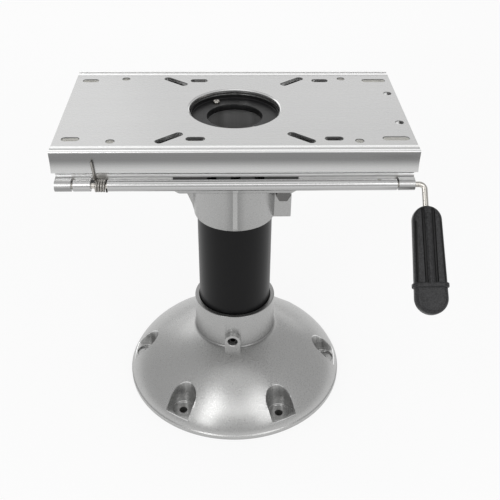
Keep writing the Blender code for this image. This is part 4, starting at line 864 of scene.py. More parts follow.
class PEDESTAL_OT_housing(bpy.types.Operator):
    """Build the swivel housing with its collar, lugs, gussets, flange and hub"""

    bl_idname = "pedestal.housing"
    bl_label = "Swivel housing"
    bl_options = {"REGISTER", "UNDO"}

    def execute(self, context):
        settings = context.scene.pedestal_castings
        flange_top = TRACK_FOOT - GAP
        flange_foot = flange_top - 12 * MM
        housing = self.collar(flange_foot)
        plate = prism("flange", flange_outline(), flange_foot, flange_top)
        rounded(plate, 1.8 * MM, 4, 30)
        cut(plate, cylinder("opening", HOUSING_BORE, flange_foot - MM, flange_top + MM, 96))
        add(housing, plate)
        self.gussets(housing, flange_foot)
        self.lugs(housing, flange_foot)
        for i in range(1, 5):
            hole = cylinder("tap", BOLT_HOLE, flange_foot - MM, flange_top + MM)
            cut(housing, moved(hole, (*middle(f"track_bolt_{i}").xy, 0)))
        rounded(housing, 0.45 * MM, 2, 50)
        paint = silver_paint("housing_paint", settings, housing_painted_shading)
        finished(housing, "swivel", paint, "cast_silver", "swivel_housing")
        return {"FINISHED"}

    def collar(self, flange_foot):
        """Turned part: collar below the flange, hub above it, and the land inside."""
        outer, upper, hub = 39.5 * MM, 40.4 * MM, 47.1 * MM
        bore, hub_bore = high("swivel_bushing").x + GAP, high("wear_washer").x + 2 * GAP
        land, land_foot = COLUMN_RADIUS + 2 * GAP, high("thrust_washer").z + GAP
        land_top = low("wear_washer").z - GAP
        seam, edge = flange_foot + 6 * MM, 0.8 * MM
        rows = [(hub_bore, HUB_TOP), (hub - edge, HUB_TOP), (hub, HUB_TOP - edge), (hub, seam)]
        rows += [(upper, seam), (upper, flange_foot), (outer, COLLAR_FOOT + MM)]
        rows += [(outer - 0.4 * MM, COLLAR_FOOT + GAP), (outer - MM, COLLAR_FOOT), (bore, COLLAR_FOOT)]
        rows += [(bore, land_foot), (land, land_foot), (land, land_top), (hub_bore, land_top), rows[0]]
        return lathe("housing", rows, 160, ring=True)

    def gussets(self, housing, flange_foot):
        """Wide web on the left, straight ones in front and behind, drawn as seen from their side."""
        inner, seam, foot = HOUSING_BORE, flange_foot + 6 * MM, COLLAR_FOOT + 0.8 * MM
        reach, straight_foot, half = FLANGE_HALF - 3 * MM, COLLAR_FOOT + 3.5 * MM, 2.2 * MM
        wide = [(inner, seam), (inner, foot), (inner + 0.7 * MM, foot)]
        wide += [(inner + 2.5 * MM, foot + 7.6 * MM), (reach, flange_foot), (reach, seam)]
        straight = [(inner, seam), (inner, straight_foot), (inner + 3.4 * MM, straight_foot)]
        straight += [(inner + 4.3 * MM, straight_foot + 0.9 * MM), (inner + 5.2 * MM, seam)]
        for angle, outline in ((180, wide), (-90, straight), (90, straight)):
            web = rounded(prism("gusset", outline, -half, half), 0.8 * MM, 3, 30)
            moved(web, rotation=ALONG_Y)
            add(housing, moved(web, rotation=(0, 0, math.radians(angle))))

    def lugs(self, housing, flange_foot):
        """Clamp lugs with their slit and bolt hole."""
        start, reach, half = 30 * MM, 54 * MM, 12 * MM
        top = flange_foot + 6 * MM
        lug = box("lugs", (start, -half, COLLAR_FOOT - MM), (reach, half, top))
        rounded(lug, 0.8 * MM, 3, 30)
        cut(lug, cylinder("bore", HOUSING_BORE, COLLAR_FOOT - 3 * MM, top + 3 * MM, 160))
        add(housing, lug)
        slit_foot, slit_top = COLLAR_FOOT - 4 * MM, COLLAR_FOOT + 48 * MM
        cut(housing, box("slit", (start, -MM, slit_foot), (reach + 6 * MM, MM, slit_top)))
        spot = middle("clamp_bolt")
        drill = cylinder("drill", BOLT_HOLE, -30 * MM, 30 * MM)
        cut(housing, moved(drill, (spot.x, 0, spot.z), ALONG_Y))


def slot_places():
    """Place, length and turn of every slot and hole for the seat."""
    hole = 6.81 * MM
    places = []
    for side in (-1, 1):
        for x, length in ((-137.0, 14.4), (134.8, 21.9), (-33.4, 15.6), (82.7, 15.0)):
            places.append((x * MM, side * 61.5 * MM, length * MM, 0.0))
    for x in (-103.6 * MM, 103.6 * MM):
        for y in (-65.7 * MM, 65.7 * MM):
            places.append((x, y, hole, 0.0))
    for across in (-1, 1):
        for along in (-1, 1):
            turn = math.radians(40) * across * along
            places.append((along * 55.5 * MM, across * 59.5 * MM, 26.8 * MM, turn))
        places.append((143.3 * MM, across * 31 * MM, hole, 0.0))
    return places


class PEDESTAL_OT_seat_plate(bpy.types.Operator):
    """Build the seat plate: an extrusion with ridges, skirts, lips, slots and notches"""

    bl_idname = "pedestal.seat_plate"
    bl_label = "Seat plate"
    bl_options = {"REGISTER", "UNDO"}

    def execute(self, context):
        settings = context.scene.pedestal_slide
        plate = prism("plate", self.section(settings), -PLATE_HALF, PLATE_HALF)
        moved(plate, rotation=ALONG_X)
        cut(plate, self.slots(settings))
        cut(plate, self.window(settings))
        cut(plate, self.notches())
        cut(plate, self.stop_taps())
        metal = anodised("plate_metal", settings, plate_painted_light)
        finished(plate, "seat_mount", metal, "anodised", "seat_plate", angle=11)
        return {"FINISHED"}

    def section(self, settings):
        """Section of the plate: x is across, y is up."""
        side, top, under = PLATE_SIDE, PLATE_TOP, PLATE_TOP - settings.plate
        nose, bow, hem, bevel = 1.2 * MM, 0.7 * MM, 0.8 * MM, GAP
        ridge, groove, bead = side - 12 * MM, side - 5 * MM, 0.5 * MM
        half = []
        for i in range(17):
            share = i / 16
            x = ridge + (groove - ridge) * share
            half.append((x, PLATE_FACE + bead * math.sin(math.pi * share)))
        half += [(groove, PLATE_FACE - bead), (groove + MM, PLATE_FACE - bead)]
        half += [(groove + MM, top - 0.2 * MM), (groove + 1.2 * MM, top)]
        half += arc(side - nose, top - nose, nose, 90, 0, 10)
        start, end = top - 2 * nose, SKIRT_FOOT + nose
        for i in range(1, 15):
            share = i / 15
            half.append((side - bow * math.sin(math.pi * share), start + (end - start) * share))
        half += arc(side - hem, SKIRT_FOOT + hem, hem, 0, -90, 9)
        inside, lip_top = side - settings.skirt, SKIRT_FOOT + 3 * MM
        lip = inside - 6.5 * MM
        half += [(lip + bevel, SKIRT_FOOT), (lip, SKIRT_FOOT + bevel), (lip, lip_top - bevel)]
        half += [(lip + bevel, lip_top), (inside - 0.5 * MM, lip_top), (inside, lip_top + 0.5 * MM)]
        half += [(inside, under - hem), (inside - hem, under)]
        return half + [(-x, y) for x, y in reversed(half)]

    def slots(self, settings):
        """Straight cutters for the slots, each with a flared top for the bright chamfer."""
        tools = []
        width, edge = settings.slot_width, settings.hole_chamfer
        for x, y, length, turn in slot_places():
            outline = stadium(length, width)
            wide = ((length + 2 * edge) / length, (width + 2 * edge) / width)
            levels = [(PLATE_FACE - 10 * MM, 1, 1), (PLATE_FACE - edge, 1, 1), (PLATE_FACE, *wide)]
            levels.append((PLATE_FACE + edge, *((2 * w - 1) for w in wide)))
            tools.append(moved(loft("slot", outline, levels), (x, y, 0), (0, 0, turn)))
        return joined("slots", tools)

    def window(self, settings):
        """Cutter of the round opening over the column."""
        radius, edge = 40.8 * MM, settings.window_chamfer
        rows = [(radius, PLATE_FACE - 10 * MM), (radius, PLATE_FACE - edge)]
        rows += [(radius + 1.3 * edge, PLATE_FACE), (radius + 2.6 * edge, PLATE_FACE + edge)]
        return lathe("window", rows, 160)

    def notches(self):
        """Notches in the front lip for the lock bar's teeth."""
        count, pitch, half = 13, 20 * MM, 4.5 * MM
        front, back = -PLATE_SIDE + 4.1 * MM, -73.5 * MM
        tools = []
        for i in range(count):
            x = (i - count // 2) * pitch
            lowest = (x - half, front, SKIRT_FOOT - 3 * MM)
            tools.append(box("notch", lowest, (x + half, back, SKIRT_FOOT + 3.05 * MM)))
        return joined("notches", tools)

    def stop_taps(self):
        tools = []
        under = PLATE_TOP - 3.5 * MM
        for node in ("stop_screw_left", "stop_screw_right"):
            tap = cylinder("tap", 2.8 * MM, under - MM, under + 2.7 * MM, 24)
            tools.append(moved(tap, (*middle(node).xy, 0)))
        return joined("taps", tools)


class PEDESTAL_OT_track(bpy.types.Operator):
    """Build the track with its rails, ledge, knuckles and lock slot"""

    bl_idname = "pedestal.track"
    bl_label = "Track"
    bl_options = {"REGISTER", "UNDO"}

    def execute(self, context):
        settings = context.scene.pedestal_slide
        track = prism("track_body", self.section(), -TRACK_HALF, TRACK_HALF)
        moved(track, rotation=ALONG_X)
        self.free_bar(track)
        self.drill(track)
        metal = anodised("track_metal", settings, track_painted_light, level=0.98, rough=0.3)
        finished(track, "swivel", metal, "anodised", "track")
        return {"FINISHED"}

    def section(self):
        """Section of the track: x is towards the rear, y is up; the ledge is at the front."""
        wall, inside, web_top = 73.5 * MM, 70 * MM, TRACK_FOOT + 3.5 * MM
        rail, rail_end, rail_under = 57 * MM, 80 * MM, RAIL_TOP - 3.5 * MM
        foot_bevel, rail_bevel, bevel = 0.8 * MM, 0.4 * MM, GAP
        half = [(inside - MM, web_top), (inside, web_top + MM), (inside, rail_under)]
        half += [(rail, rail_under + rail_bevel), (rail, RAIL_TOP - rail_bevel)]
        half += [(rail + rail_bevel, RAIL_TOP), (rail_end - rail_bevel, RAIL_TOP)]
        half += [(rail_end, RAIL_TOP - rail_bevel), (rail_end, rail_under + rail_bevel), (wall, rail_under)]
        rear = half + [(wall, TRACK_FOOT + foot_bevel), (wall - foot_bevel, TRACK_FOOT)]
        under, top, crest = SKIRT_FOOT - 6 * MM, SKIRT_FOOT - 3.5 * MM, SKIRT_FOOT - GAP
        face = -(LEDGE_FRONT + GAP)
        back = face - 3 * MM
        turn = math.degrees(math.asin((under - PIVOT.z) / BAR_RADIUS))
        front = [(wall - foot_bevel, TRACK_FOOT), (wall, TRACK_FOOT + foot_bevel), (wall, under)]
        front += [(-y, z) for y, z in arc(PIVOT.y, PIVOT.z, BAR_RADIUS, turn, -270, 40)]
        front += [(face, BAR_TOP), (face, crest - bevel), (face - bevel, crest), (back + bevel, crest)]
        front += [(back, crest - bevel), (back, top + 0.5 * MM), (back - 0.5 * MM, top), (wall, top)]
        front += half[::-1]
        return rear + [(-x, y) for x, y in front]

    def free_bar(self, track):
        """Cut the ledge back between the knuckles, and the slots for the teeth and the spring."""
        reach, clear = TRACK_HALF - 13.4 * MM, 10 * MM
        back, front = LEDGE_FRONT + 0.5 * MM, LEDGE_FRONT - 2.5 * MM
        foot, top, half_slot = SKIRT_FOOT - 8.5 * MM, SKIRT_FOOT - 3 * MM, 52 * MM
        lowest = (-reach, PIVOT.y - clear, PIVOT.z - clear)
        cut(track, box("space", lowest, (reach, back, PIVOT.z + clear)))
        drill = cylinder("bore", ROD_BORE, -TRACK_HALF + 3.35 * MM, TRACK_HALF + MM, 40)
        cut(track, moved(drill, (0, PIVOT.y, PIVOT.z), LYING))
        cut(track, box("slot", (-half_slot, front, foot), (half_slot, -PLATE_SIDE + 9.7 * MM, top)))
        relief_end = (-105.3 * MM, PIVOT.y + 6.45 * MM, SKIRT_FOOT + MM)
        cut(track, box("relief", (-118.6 * MM, front, foot), relief_end))

    def drill(self, track):
        """Openings in the web for the hub and the bolts, and in the rails for the glides' pegs."""
        span = (TRACK_FOOT - MM, TRACK_FOOT + 5 * MM)
        cut(track, cylinder("hub", 47.7 * MM, *span, 128))
        tools = []
        for i in range(1, 5):
            hole = cylinder("hole", BOLT_HOLE, *span)
            tools.append(moved(hole, (*middle(f"track_bolt_{i}").xy, 0)))
        for x in (-118.7 * MM, 118.7 * MM):
            for y in (-64 * MM, 64 * MM):
                hole = cylinder("peg", 3.1 * MM, RAIL_TOP - 6 * MM, RAIL_TOP + MM)
                tools.append(moved(hole, (x, y, 0)))
        cut(track, joined("holes", tools))


def bent_wire(name, points, radius, sides):
    """Sweep a round section along points by extruding it from one to the next."""
    points = [Vector(point) for point in points]
    deselect()
    before = (points[1] - points[0]).normalized()
    facing = before.to_track_quat("Z", "Y").to_euler()
    bpy.ops.mesh.primitive_circle_add(vertices=sides, radius=radius, fill_type="NGON",
                                      location=points[0], rotation=facing)
    piece = begin_edit(name)
    for i in range(1, len(points)):
        step = points[i] - points[i - 1]
        after = (points[i + 1] - points[i]).normalized() if i + 1 < len(points) else step.normalized()
        facing = (step.normalized() + after).normalized()
        bpy.ops.mesh.extrude_region_move(TRANSFORM_OT_translate={"value": step})
        turn_selected(before, facing, points[i])
        before = facing
    end_edit()
    return piece


def turn_selected(before, after, centre):
    """Turn what is selected so that it faces along another direction."""
    axis = before.cross(after)
    if axis.length < 1e-6:
        return
    angle = before.angle(after)
    axis.normalize()
    side = axis.orthogonal().normalized()
    frame_axes = Matrix((side, axis.cross(side), axis)).transposed()
    bpy.ops.transform.rotate(value=angle, orient_axis="Z", orient_type="GLOBAL",
                             orient_matrix=frame_axes, orient_matrix_type="GLOBAL",
                             center_override=centre)


class PEDESTAL_OT_lock_bar(bpy.types.Operator):
    """Build the lock bar with its flange and teeth, and the spacer on the rod"""

    bl_idname = "pedestal.lock_bar"
    bl_label = "Lock bar"
    bl_options = {"REGISTER", "UNDO"}

    def execute(self, context):
        settings = context.scene.pedestal_slide
        metal = anodised("bar_metal", settings, bar_painted_shade, level=1.3, rough=0.18)
        start, end, top = low("lock_bar").x, high("lock_bar").x, high("lock_bar").z
        back, bevel = -(PLATE_SIDE - 7.2 * MM) - PIVOT.y, 0.4 * MM
        foot = -BAR_RADIUS + 0.1 * MM
        flange_top = foot + 2.6 * MM
        meet = math.degrees(math.acos(flange_top / BAR_RADIUS))
        outline = arc(0, 0, BAR_RADIUS, 90 - meet, 270, 40)
        outline += [(back - bevel, -BAR_RADIUS), (back, bevel - BAR_RADIUS), (back, flange_top)]
        bar = moved(prism("bar", outline, start, end), (0, PIVOT.y, PIVOT.z), ALONG_X)
        pitch, half, depth = 20 * MM, 4 * MM, 2.5 * MM
        for x in (-pitch, 0, pitch):
            lowest = (x - half, PIVOT.y + back - depth, PIVOT.z + foot)
            tooth = box("tooth", lowest, (x + half, PIVOT.y + back, top))
            add(bar, rounded(tooth, 0.6 * MM, 3, 30))
        drill = cylinder("drill", ROD_BORE, start - MM, end + MM, 40)
        cut(bar, moved(drill, (0, PIVOT.y, PIVOT.z), LYING))
        hole = cylinder("hole", PIN_HOLE, -10 * MM, 10 * MM, 24)
        cut(bar, moved(hole, middle("rod_pin")))
        finished(bar, "lever", metal, "anodised", "lock_bar")
        self.spacer(metal)
        return {"FINISHED"}

    def spacer(self, metal):
        start, end, edge = low("rod_spacer").x, high("rod_spacer").x, GAP
        rows = [(ROD_BORE, start), (BAR_RADIUS - edge, start), (BAR_RADIUS, start + edge)]
        rows += [(BAR_RADIUS, end - edge), (BAR_RADIUS - edge, end), (ROD_BORE, end), rows[0]]
        spacer = lathe("spacer", rows, 64, ring=True)
        moved(spacer, (0, PIVOT.y, PIVOT.z), LYING)
        finished(spacer, "lever", metal, "anodised", "rod_spacer")


class PEDESTAL_OT_lever(bpy.types.Operator):
    """Build the bent rod, the moulded grip and the torsion spring"""

    bl_idname = "pedestal.lever"
    bl_label = "Lever"
    bl_options = {"REGISTER", "UNDO"}

    def execute(self, context):
        settings = context.scene.pedestal_lever
        steel = bright_steel("lever_steel", shade(settings.steel, 1.5), (400.0, 40.0, 40.0))
        self.rod(steel)
        self.grip(settings)
        self.spring(settings)
        return {"FINISHED"}

    def rod(self, steel):
        bend, steps = 4.6 * MM, 16
        centre = Vector((LEVER_X - bend, PIVOT.y, PIVOT.z)) + DOWN * bend
        points = [Vector((low("lever_rod").x, PIVOT.y, PIVOT.z))]
        for i in range(steps + 1):
            angle = math.pi / 2 * i / steps
            along = Vector((math.sin(angle), 0, 0))
            points.append(centre + (along - DOWN * math.cos(angle)) * bend)
        points.append(LEVER_START + DOWN * 78.7 * MM)
        rod = bent_wire("rod", points, 2.4 * MM, 32)
        cut(rod, moved(cylinder("hole", PIN_HOLE, -9 * MM, 9 * MM, 24), middle("rod_pin")))
        finished(rod, "lever", steel, "bright_steel", "lever_rod")

    def half_width(self, settings, depth):
        """Half the grip's width at a depth below its top."""
        top, end = settings.grip_top / 2, settings.grip_end / 2
        if depth < top:
            return math.sqrt(max(top ** 2 - (top - depth) ** 2, 0))
        straight = settings.grip_length - end
        if depth > straight:
            return math.sqrt(max(end ** 2 - (depth - straight) ** 2, 0))
        return top + (end - top) * (depth - top) / (straight - top)

    def grip_outline(self, settings):
        top, end = settings.grip_top / 2, settings.grip_end / 2
        depths = [top * (1 - math.cos(math.radians(a))) for a in range(0, 91, 5)]
        straight = settings.grip_length - end
        depths += [straight + end * math.sin(math.radians(a)) for a in range(0, 91, 5)]
        right = [(self.half_width(settings, depth), -depth) for depth in depths]
        return right + [(-x, y) for x, y in reversed(right[1:-1])]

    def grip(self, settings):
        thick = settings.grip_thickness / 2
        grip = prism("grip", self.grip_outline(settings), -thick, thick)
        rounded(grip, 4.2 * MM, 8, 60)
        self.flute(grip, settings, thick)
        self.rib_and_band(grip, settings, thick)
        cut(grip, moved(cylinder("bore", ROD_BORE, -60 * MM, 5 * MM), rotation=HANGING))
        moved(grip, GRIP_PLACE, (DROP, 0, 0))
        rubber = moulded_black("grip_black", settings.rubber, grip_groove_shade)
        finished(grip, "lever", rubber, "black_plastic", "lever_grip", angle=40)

    def flute(self, grip, settings, thick):
        """Grooves beside the rib and along the sides, front and back."""
        wide, edge = 3 * MM, settings.grip_top / 2
        lean = math.atan2(settings.grip_end / 2 - edge, settings.grip_length - 2 * edge)
        rows = ((4.1 * MM, 3 * MM, wide, 0.0), (edge - 2.1 * MM, 13.2 * MM, wide / 2, lean))
        tools = []
        for across in (-1, 1):
            for face in (-1, 1):
                for x, start, size, slant in rows:
                    shape = [(size * 0.1, 0), (size / 2, -size / 2), (size / 2, start - GRIP_BAND)]
                    tool = moved(lathe("flute", shape, 24), rotation=(*HANGING[:2], across * slant))
                    tools.append(moved(tool, (across * x, -start, face * (thick + size * 0.15))))
        cut(grip, joined("flutes", tools))

    def rib_and_band(self, grip, settings, thick):
        """Rib over the rod, raised band across the lower part."""
        proud, corner, half_band = 1.5 * MM, 5.7 * MM, 2.1 * MM
        rib_shape = stadium(2 * (thick + 1.3 * MM), 5.8 * MM, 16)
        rib = prism("rib", rib_shape, settings.grip_top / 4, GRIP_BAND)
        moved(rib, rotation=(0, 0, math.radians(90)))
        rounded(rib, 1.2 * MM, 4, 60)
        add(grip, moved(rib, rotation=ALONG_Y))
        half = self.half_width(settings, GRIP_BAND) + proud - 0.04 * MM
        outline = []
        for cx, cy, start in ((1, 1, 0), (-1, 1, 90), (-1, -1, 180), (1, -1, 270)):
            x, y = cx * (half - corner), cy * (thick + proud - corner)
            outline += arc(x, y, corner, start, start + 90, 12)
        ring = prism("band", outline, GRIP_BAND - half_band, GRIP_BAND + half_band)
        rounded(ring, 1.2 * MM, 5, 60)
        add(grip, moved(ring, rotation=ALONG_Y))

    def spring(self, settings):
        """Four coils with a leg up the skirt and a hook under the lock bar."""
        wire, coils, steps = settings.wire, 4, 96
        radius = (11.7 * MM - wire) / 2
        left, right = -115 * MM, -106.2 * MM
        first, sweep = math.radians(8), math.tau * coils + math.radians(98)
        tip_y = PIVOT.y + 5.2 * MM - wire / 2
        start_z = PIVOT.z + radius * math.sin(first)
        leg = -wire * 1.2
        points = [(left + leg, tip_y, start_z + 19 * MM),
                  (left + leg * 0.6, tip_y - wire / 3, start_z + 11.4 * MM),
                  (left + leg * 0.2, tip_y - wire / 4, start_z + 4.75 * MM)]
        for i in range(steps):
            share = i / steps
            angle = first - sweep * share
            points.append((left + (right - left) * share, PIVOT.y + radius * math.cos(angle),
                           PIVOT.z + radius * math.sin(angle)))
        hook, back = PIVOT.z - BAR_RADIUS - wire / 2 - GAP, -PLATE_SIDE + 2.2 * MM
        points += [(right, PIVOT.y, hook), (right, back - wire, hook)]
        points += [(right + wire * 0.4, back - wire * 0.3, hook), (right + wire, back, hook)]
        points.append((right + 7 * MM, back, hook))
        spring = bent_wire("spring", points, wire / 2, 14)
        steel = bright_steel("spring_steel", shade(settings.steel, 0.9), (300.0, 300.0, 300.0))
        finished(spring, None, steel, "bright_steel", "torsion_spring", angle=50)
        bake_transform(spring)


class PEDESTAL_OT_fasteners(bpy.types.Operator):
    """Build each kind of screw once, copy it to every place, and repaint the nodes that stay"""

    bl_idname = "pedestal.fasteners"
    bl_label = "Fasteners and bearings"
    bl_options = {"REGISTER", "UNDO"}

    def execute(self, context):
        settings = context.scene.pedestal_lever
        steel = bright_steel("screw_steel", settings.steel)
        self.buttons(steel)
        self.clamp(bright_steel("clamp_steel", (0.15, 0.148, 0.145)))
        self.set_screw(bright_steel("set_screw_steel", (0.05, 0.05, 0.05)))
        nylon = natural_nylon("nylon", context.scene.pedestal_slide.nylon)
        glides = [f"glide_{end}_{side}" for end in ("front", "rear") for side in ("left", "right")]
        repaint(nylon, "swivel_bushing", "thrust_washer", "wear_washer", "stop_block_left",
                "stop_block_right", *glides)
        repaint(bright_steel("plain_steel", settings.steel), "thrust_ring", "rod_pin")
        return {"FINISHED"}

    def button(self, shank, length, head, key, rise):
        """A domed screw with a hexagon socket, its seat at the origin."""
        bevel, flat, rim, steps = 0.4 * MM, head * 0.28, rise * 0.12, 8
        rows = [(shank / 2 - bevel, -length), (shank / 2, bevel - length), (shank / 2, 0)]
        rows += [(head / 2, 0), (head / 2, rim)]
        for i in range(1, steps + 1):
            angle = math.pi / 2 * i / steps
            radius = flat + (head / 2 - flat) * math.cos(angle)
            rows.append((radius, rim + (rise - rim) * math.sin(angle)))
        screw = lathe("screw", rows, 48)
        return cut(screw, prism("socket", hexagon(key), rise * 0.4, rise * 2))

    def buttons(self, steel):
        """Screws of the ring, the track and the stops: shank, length, head and key in mm."""
        kinds = [
            (("ring_screw_1", "ring_screw_2"), "base", (3.4, 12, 6.6, 2.04), False),
            (tuple(f"track_bolt_{i}" for i in range(1, 5)), "swivel", (8, 16.2, 14, 4.8), False),
            (("stop_screw_left", "stop_screw_right"), "seat_mount", (5, 12, 9.5, 3), True),
        ]
        for nodes, body, sizes, turned_over in kinds:
            shank, length, head, key = (size * MM for size in sizes)
            rise = head * 0.33
            model = self.button(shank, length, head, key, rise)
            for node in nodes:
                seat = low(node).z + rise if turned_over else high(node).z - rise
                turn = (math.pi, 0, 0) if turned_over else (0, 0, 0)
                screw = moved(copied(model, node + "_fine"), (*middle(node).xy, seat), turn)
                finished(screw, body, steel, "bright_steel", node)
            bpy.data.objects.remove(model, do_unlink=True)

    def clamp(self, steel):
        """Bolt, washers and nut through the lugs."""
        spot, hexagon_head, edge = middle("clamp_bolt"), hexagon(13 * MM), 0.2 * MM
        start, end = -high("clamp_bolt").y, -low("clamp_bolt").y
        rows = [(4 * MM, end - 5 * MM), (4 * MM, start + 0.4 * MM), (3.6 * MM, start)]
        bolt = lathe("bolt", rows, 40)
        add(bolt, rounded(prism("head", hexagon_head, end - 5.3 * MM, end), 0.5 * MM, 2, 50))
        start, end = -high("clamp_nut").y, -low("clamp_nut").y
        nut = rounded(prism("nut", hexagon_head, start, end), 0.5 * MM, 2, 50)
        cut(nut, cylinder("bore", BOLT_HOLE, start - MM, end + MM, 40))
        pieces = {"clamp_bolt": bolt, "clamp_nut": nut}
        for node in ("clamp_washer_front", "clamp_washer_rear"):
            start, end, rim = -high(node).y, -low(node).y, 7.5 * MM
            rows = [(BOLT_HOLE, start), (rim - edge, start), (rim, start + edge)]
            rows += [(rim, end - edge), (rim - edge, end), (BOLT_HOLE, end), rows[0]]
            pieces[node] = lathe(node, rows, 48, ring=True)
        for node, piece in pieces.items():
            moved(piece, (spot.x, 0, spot.z), ALONG_Y)
            piece.name = node + "_fine"
            finished(piece, "swivel", steel, "bright_steel", node)

    def set_screw(self, steel):
        """Hexagon socket screw in the foot's boss."""
        radius, length, edge = 4.75 * MM, 7.6 * MM, 0.5 * MM
        start, end = SOCKET_BORE, SOCKET_BORE + length
        rows = [(radius - edge, start), (radius, start + edge), (radius, end - edge), (radius - edge, end)]
        screw = lathe("base_set_screw_fine", rows, 40)
        cut(screw, prism("key", hexagon(4.8 * MM), start + length / 2, end + length))
        moved(screw, rotation=ALONG_X)
        moved(screw, (0, 0, BOSS_HEIGHT), (0, 0, FOOT_TURN - math.radians(90)))
        finished(screw, "base", steel, "dark_steel", "base_set_screw")


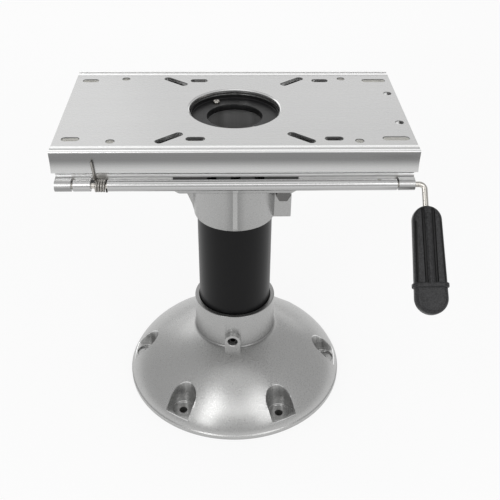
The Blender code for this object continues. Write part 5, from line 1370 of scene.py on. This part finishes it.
class PEDESTAL_OT_stage(bpy.types.Operator):
    """Add the floor, the lamps, the surroundings and the camera"""

    bl_idname = "pedestal.stage"
    bl_label = "Stage"
    bl_options = {"REGISTER", "UNDO"}

    def execute(self, context):
        settings = context.scene.pedestal_stage
        context.scene.view_settings.view_transform = "Standard"
        self.floor(settings)
        # Place, size and power: above, in front, left, right, and three behind
        lamps = (((-0.1, -0.25, 1.6), (1.0, 0.6), settings.key * 0.5),
                 ((0, -1.15, 1.18), (1.3, 0.35), settings.key),
                 ((-0.6, -1.05, 0.95), (0.3, 1.2), settings.side * 1.3),
                 ((0.66, -0.95, 0.95), (0.45, 1.1), settings.side),
                 ((-0.25, 1.35, 1.08), (2.0, 0.75), settings.back),
                 ((-0.8, 1.35, 1.08), (1.2, 0.75), settings.back * 0.15),
                 ((0, 1.5, 0.45), (2.6, 0.35), settings.back * 0.55))
        for place, size, power in lamps:
            self.lamp(Vector(place), size, power)
        self.surroundings(settings)
        self.camera(context)
        return {"FINISHED"}

    def floor(self, settings):
        deselect()
        bpy.ops.mesh.primitive_plane_add(size=20, location=(0, 0, DECK))
        floor = bpy.context.object
        floor.name = "floor"
        floor.data.materials.append(self.floor_finish(settings))

    def floor_finish(self, settings):
        """Pale floor, white to the camera and in metal, with a painted shadow, near black, where the foot
        covers it.
        """
        finish = Finish("floor")
        place = finish.place()
        reach = finish.node("ShaderNodeVectorMath", {"operation": "LENGTH"}, place, output=1)
        open_floor = reach.above(RIM_RADIUS - 4 * MM)
        grain = finish.noise(place, 3.0, 2.0, 0.5)
        pale = finish.blend(shade(settings.floor, 0.995), shade(settings.floor, 1.005), grain)
        # Painted shadow: near black under the foot, seen through the deck holes
        colour = finish.blend(shade(settings.floor, 0.02), pale, open_floor)
        finish.set(Base_Color=colour, Roughness=0.9)
        rays = finish.nodes.new("ShaderNodeLightPath")
        seen = sum(Value(finish, rays.outputs[kind]) for kind in
                   ("Is Camera Ray", "Is Glossy Ray", "Is Transmission Ray"))
        glow = finish.node("ShaderNodeEmission", {}, (1.0, 1.0, 1.0, 1.0), 1.0)
        plain = Value(finish, finish.shader.outputs[0])
        share = (seen * open_floor).clamped() * 0.85
        mixed = finish.node("ShaderNodeMixShader", {}, share, plain, glow)
        output = finish.nodes["Material Output"]
        finish.links.new(mixed.socket, output.inputs["Surface"])
        return finish.material

    def lamp(self, place, size, power):
        """A rectangular lamp that faces the object."""
        deselect()
        bpy.ops.object.light_add(type="AREA", location=place)
        lamp = bpy.context.object
        lamp.data.shape = "RECTANGLE"
        lamp.data.size, lamp.data.size_y = size
        lamp.data.energy = power
        lamp.rotation_euler = (Vector((0, 0, 0.2)) - place).to_track_quat("-Z", "Y").to_euler()

    def surroundings(self, settings):
        world = bpy.data.worlds.new("surroundings")
        world.use_nodes = True
        background = world.node_tree.nodes["Background"]
        background.inputs["Color"].default_value = (1, 1, 1, 1)
        background.inputs["Strength"].default_value = settings.world
        bpy.context.scene.world = world

    def camera(self, context):
        """Place the camera where the photograph was taken from."""
        deselect()
        bpy.ops.object.camera_add(location=CAMERA_PLACE)
        camera = bpy.context.object
        forward = Vector((math.sin(CAMERA_YAW) * math.cos(CAMERA_PITCH),
                          math.cos(CAMERA_YAW) * math.cos(CAMERA_PITCH), -math.sin(CAMERA_PITCH)))
        right = Vector((math.cos(CAMERA_YAW), -math.sin(CAMERA_YAW), 0))
        up = right.cross(forward)
        side = right * math.cos(CAMERA_ROLL) + up * math.sin(CAMERA_ROLL)
        top = up * math.cos(CAMERA_ROLL) - right * math.sin(CAMERA_ROLL)
        axes = Matrix((side, top, -forward)).transposed()
        camera.rotation_euler = axes.to_euler()
        camera.data.lens = CAMERA_LENS
        camera.data.sensor_width = 36
        context.scene.camera = camera


class PEDESTAL_PT_panel(bpy.types.Panel):
    """Sizes and finishes, with one button per group of pieces"""

    bl_idname = "PEDESTAL_PT_panel"
    bl_label = "Boat Seat Pedestal"
    bl_space_type = "VIEW_3D"
    bl_region_type = "UI"
    bl_category = "Pedestal"

    def draw(self, context):
        layout = self.layout
        for name, groups in GROUPS.items():
            settings = getattr(context.scene, name)
            column = layout.box().column()
            for field in settings.__annotations__:
                column.prop(settings, field)
            for operator in groups:
                column.operator(operator)


GROUPS = {
    "pedestal_castings": ("pedestal.foot", "pedestal.column", "pedestal.housing"),
    "pedestal_slide": ("pedestal.seat_plate", "pedestal.track", "pedestal.lock_bar"),
    "pedestal_lever": ("pedestal.lever", "pedestal.fasteners"),
    "pedestal_stage": ("pedestal.stage",),
}
SETTINGS = {
    "pedestal_castings": PEDESTAL_PG_castings,
    "pedestal_slide": PEDESTAL_PG_slide,
    "pedestal_lever": PEDESTAL_PG_lever,
    "pedestal_stage": PEDESTAL_PG_stage,
}
OPERATORS = (PEDESTAL_OT_foot, PEDESTAL_OT_column, PEDESTAL_OT_housing, PEDESTAL_OT_seat_plate,
             PEDESTAL_OT_track, PEDESTAL_OT_lock_bar, PEDESTAL_OT_lever, PEDESTAL_OT_fasteners,
             PEDESTAL_OT_stage)


def register():
    for group in SETTINGS.values():
        bpy.utils.register_class(group)
    for name, group in SETTINGS.items():
        setattr(bpy.types.Scene, name, PointerProperty(type=group))
    for operator in OPERATORS:
        bpy.utils.register_class(operator)
    bpy.utils.register_class(PEDESTAL_PT_panel)


def unregister():
    bpy.utils.unregister_class(PEDESTAL_PT_panel)
    for operator in reversed(OPERATORS):
        bpy.utils.unregister_class(operator)
    for name, group in SETTINGS.items():
        delattr(bpy.types.Scene, name)
        bpy.utils.unregister_class(group)


def main():
    register()
    for operators in GROUPS.values():
        for operator in operators:
            group, name = operator.split(".")
            getattr(getattr(bpy.ops, group), name)()


if __name__ == "__main__":
    main()
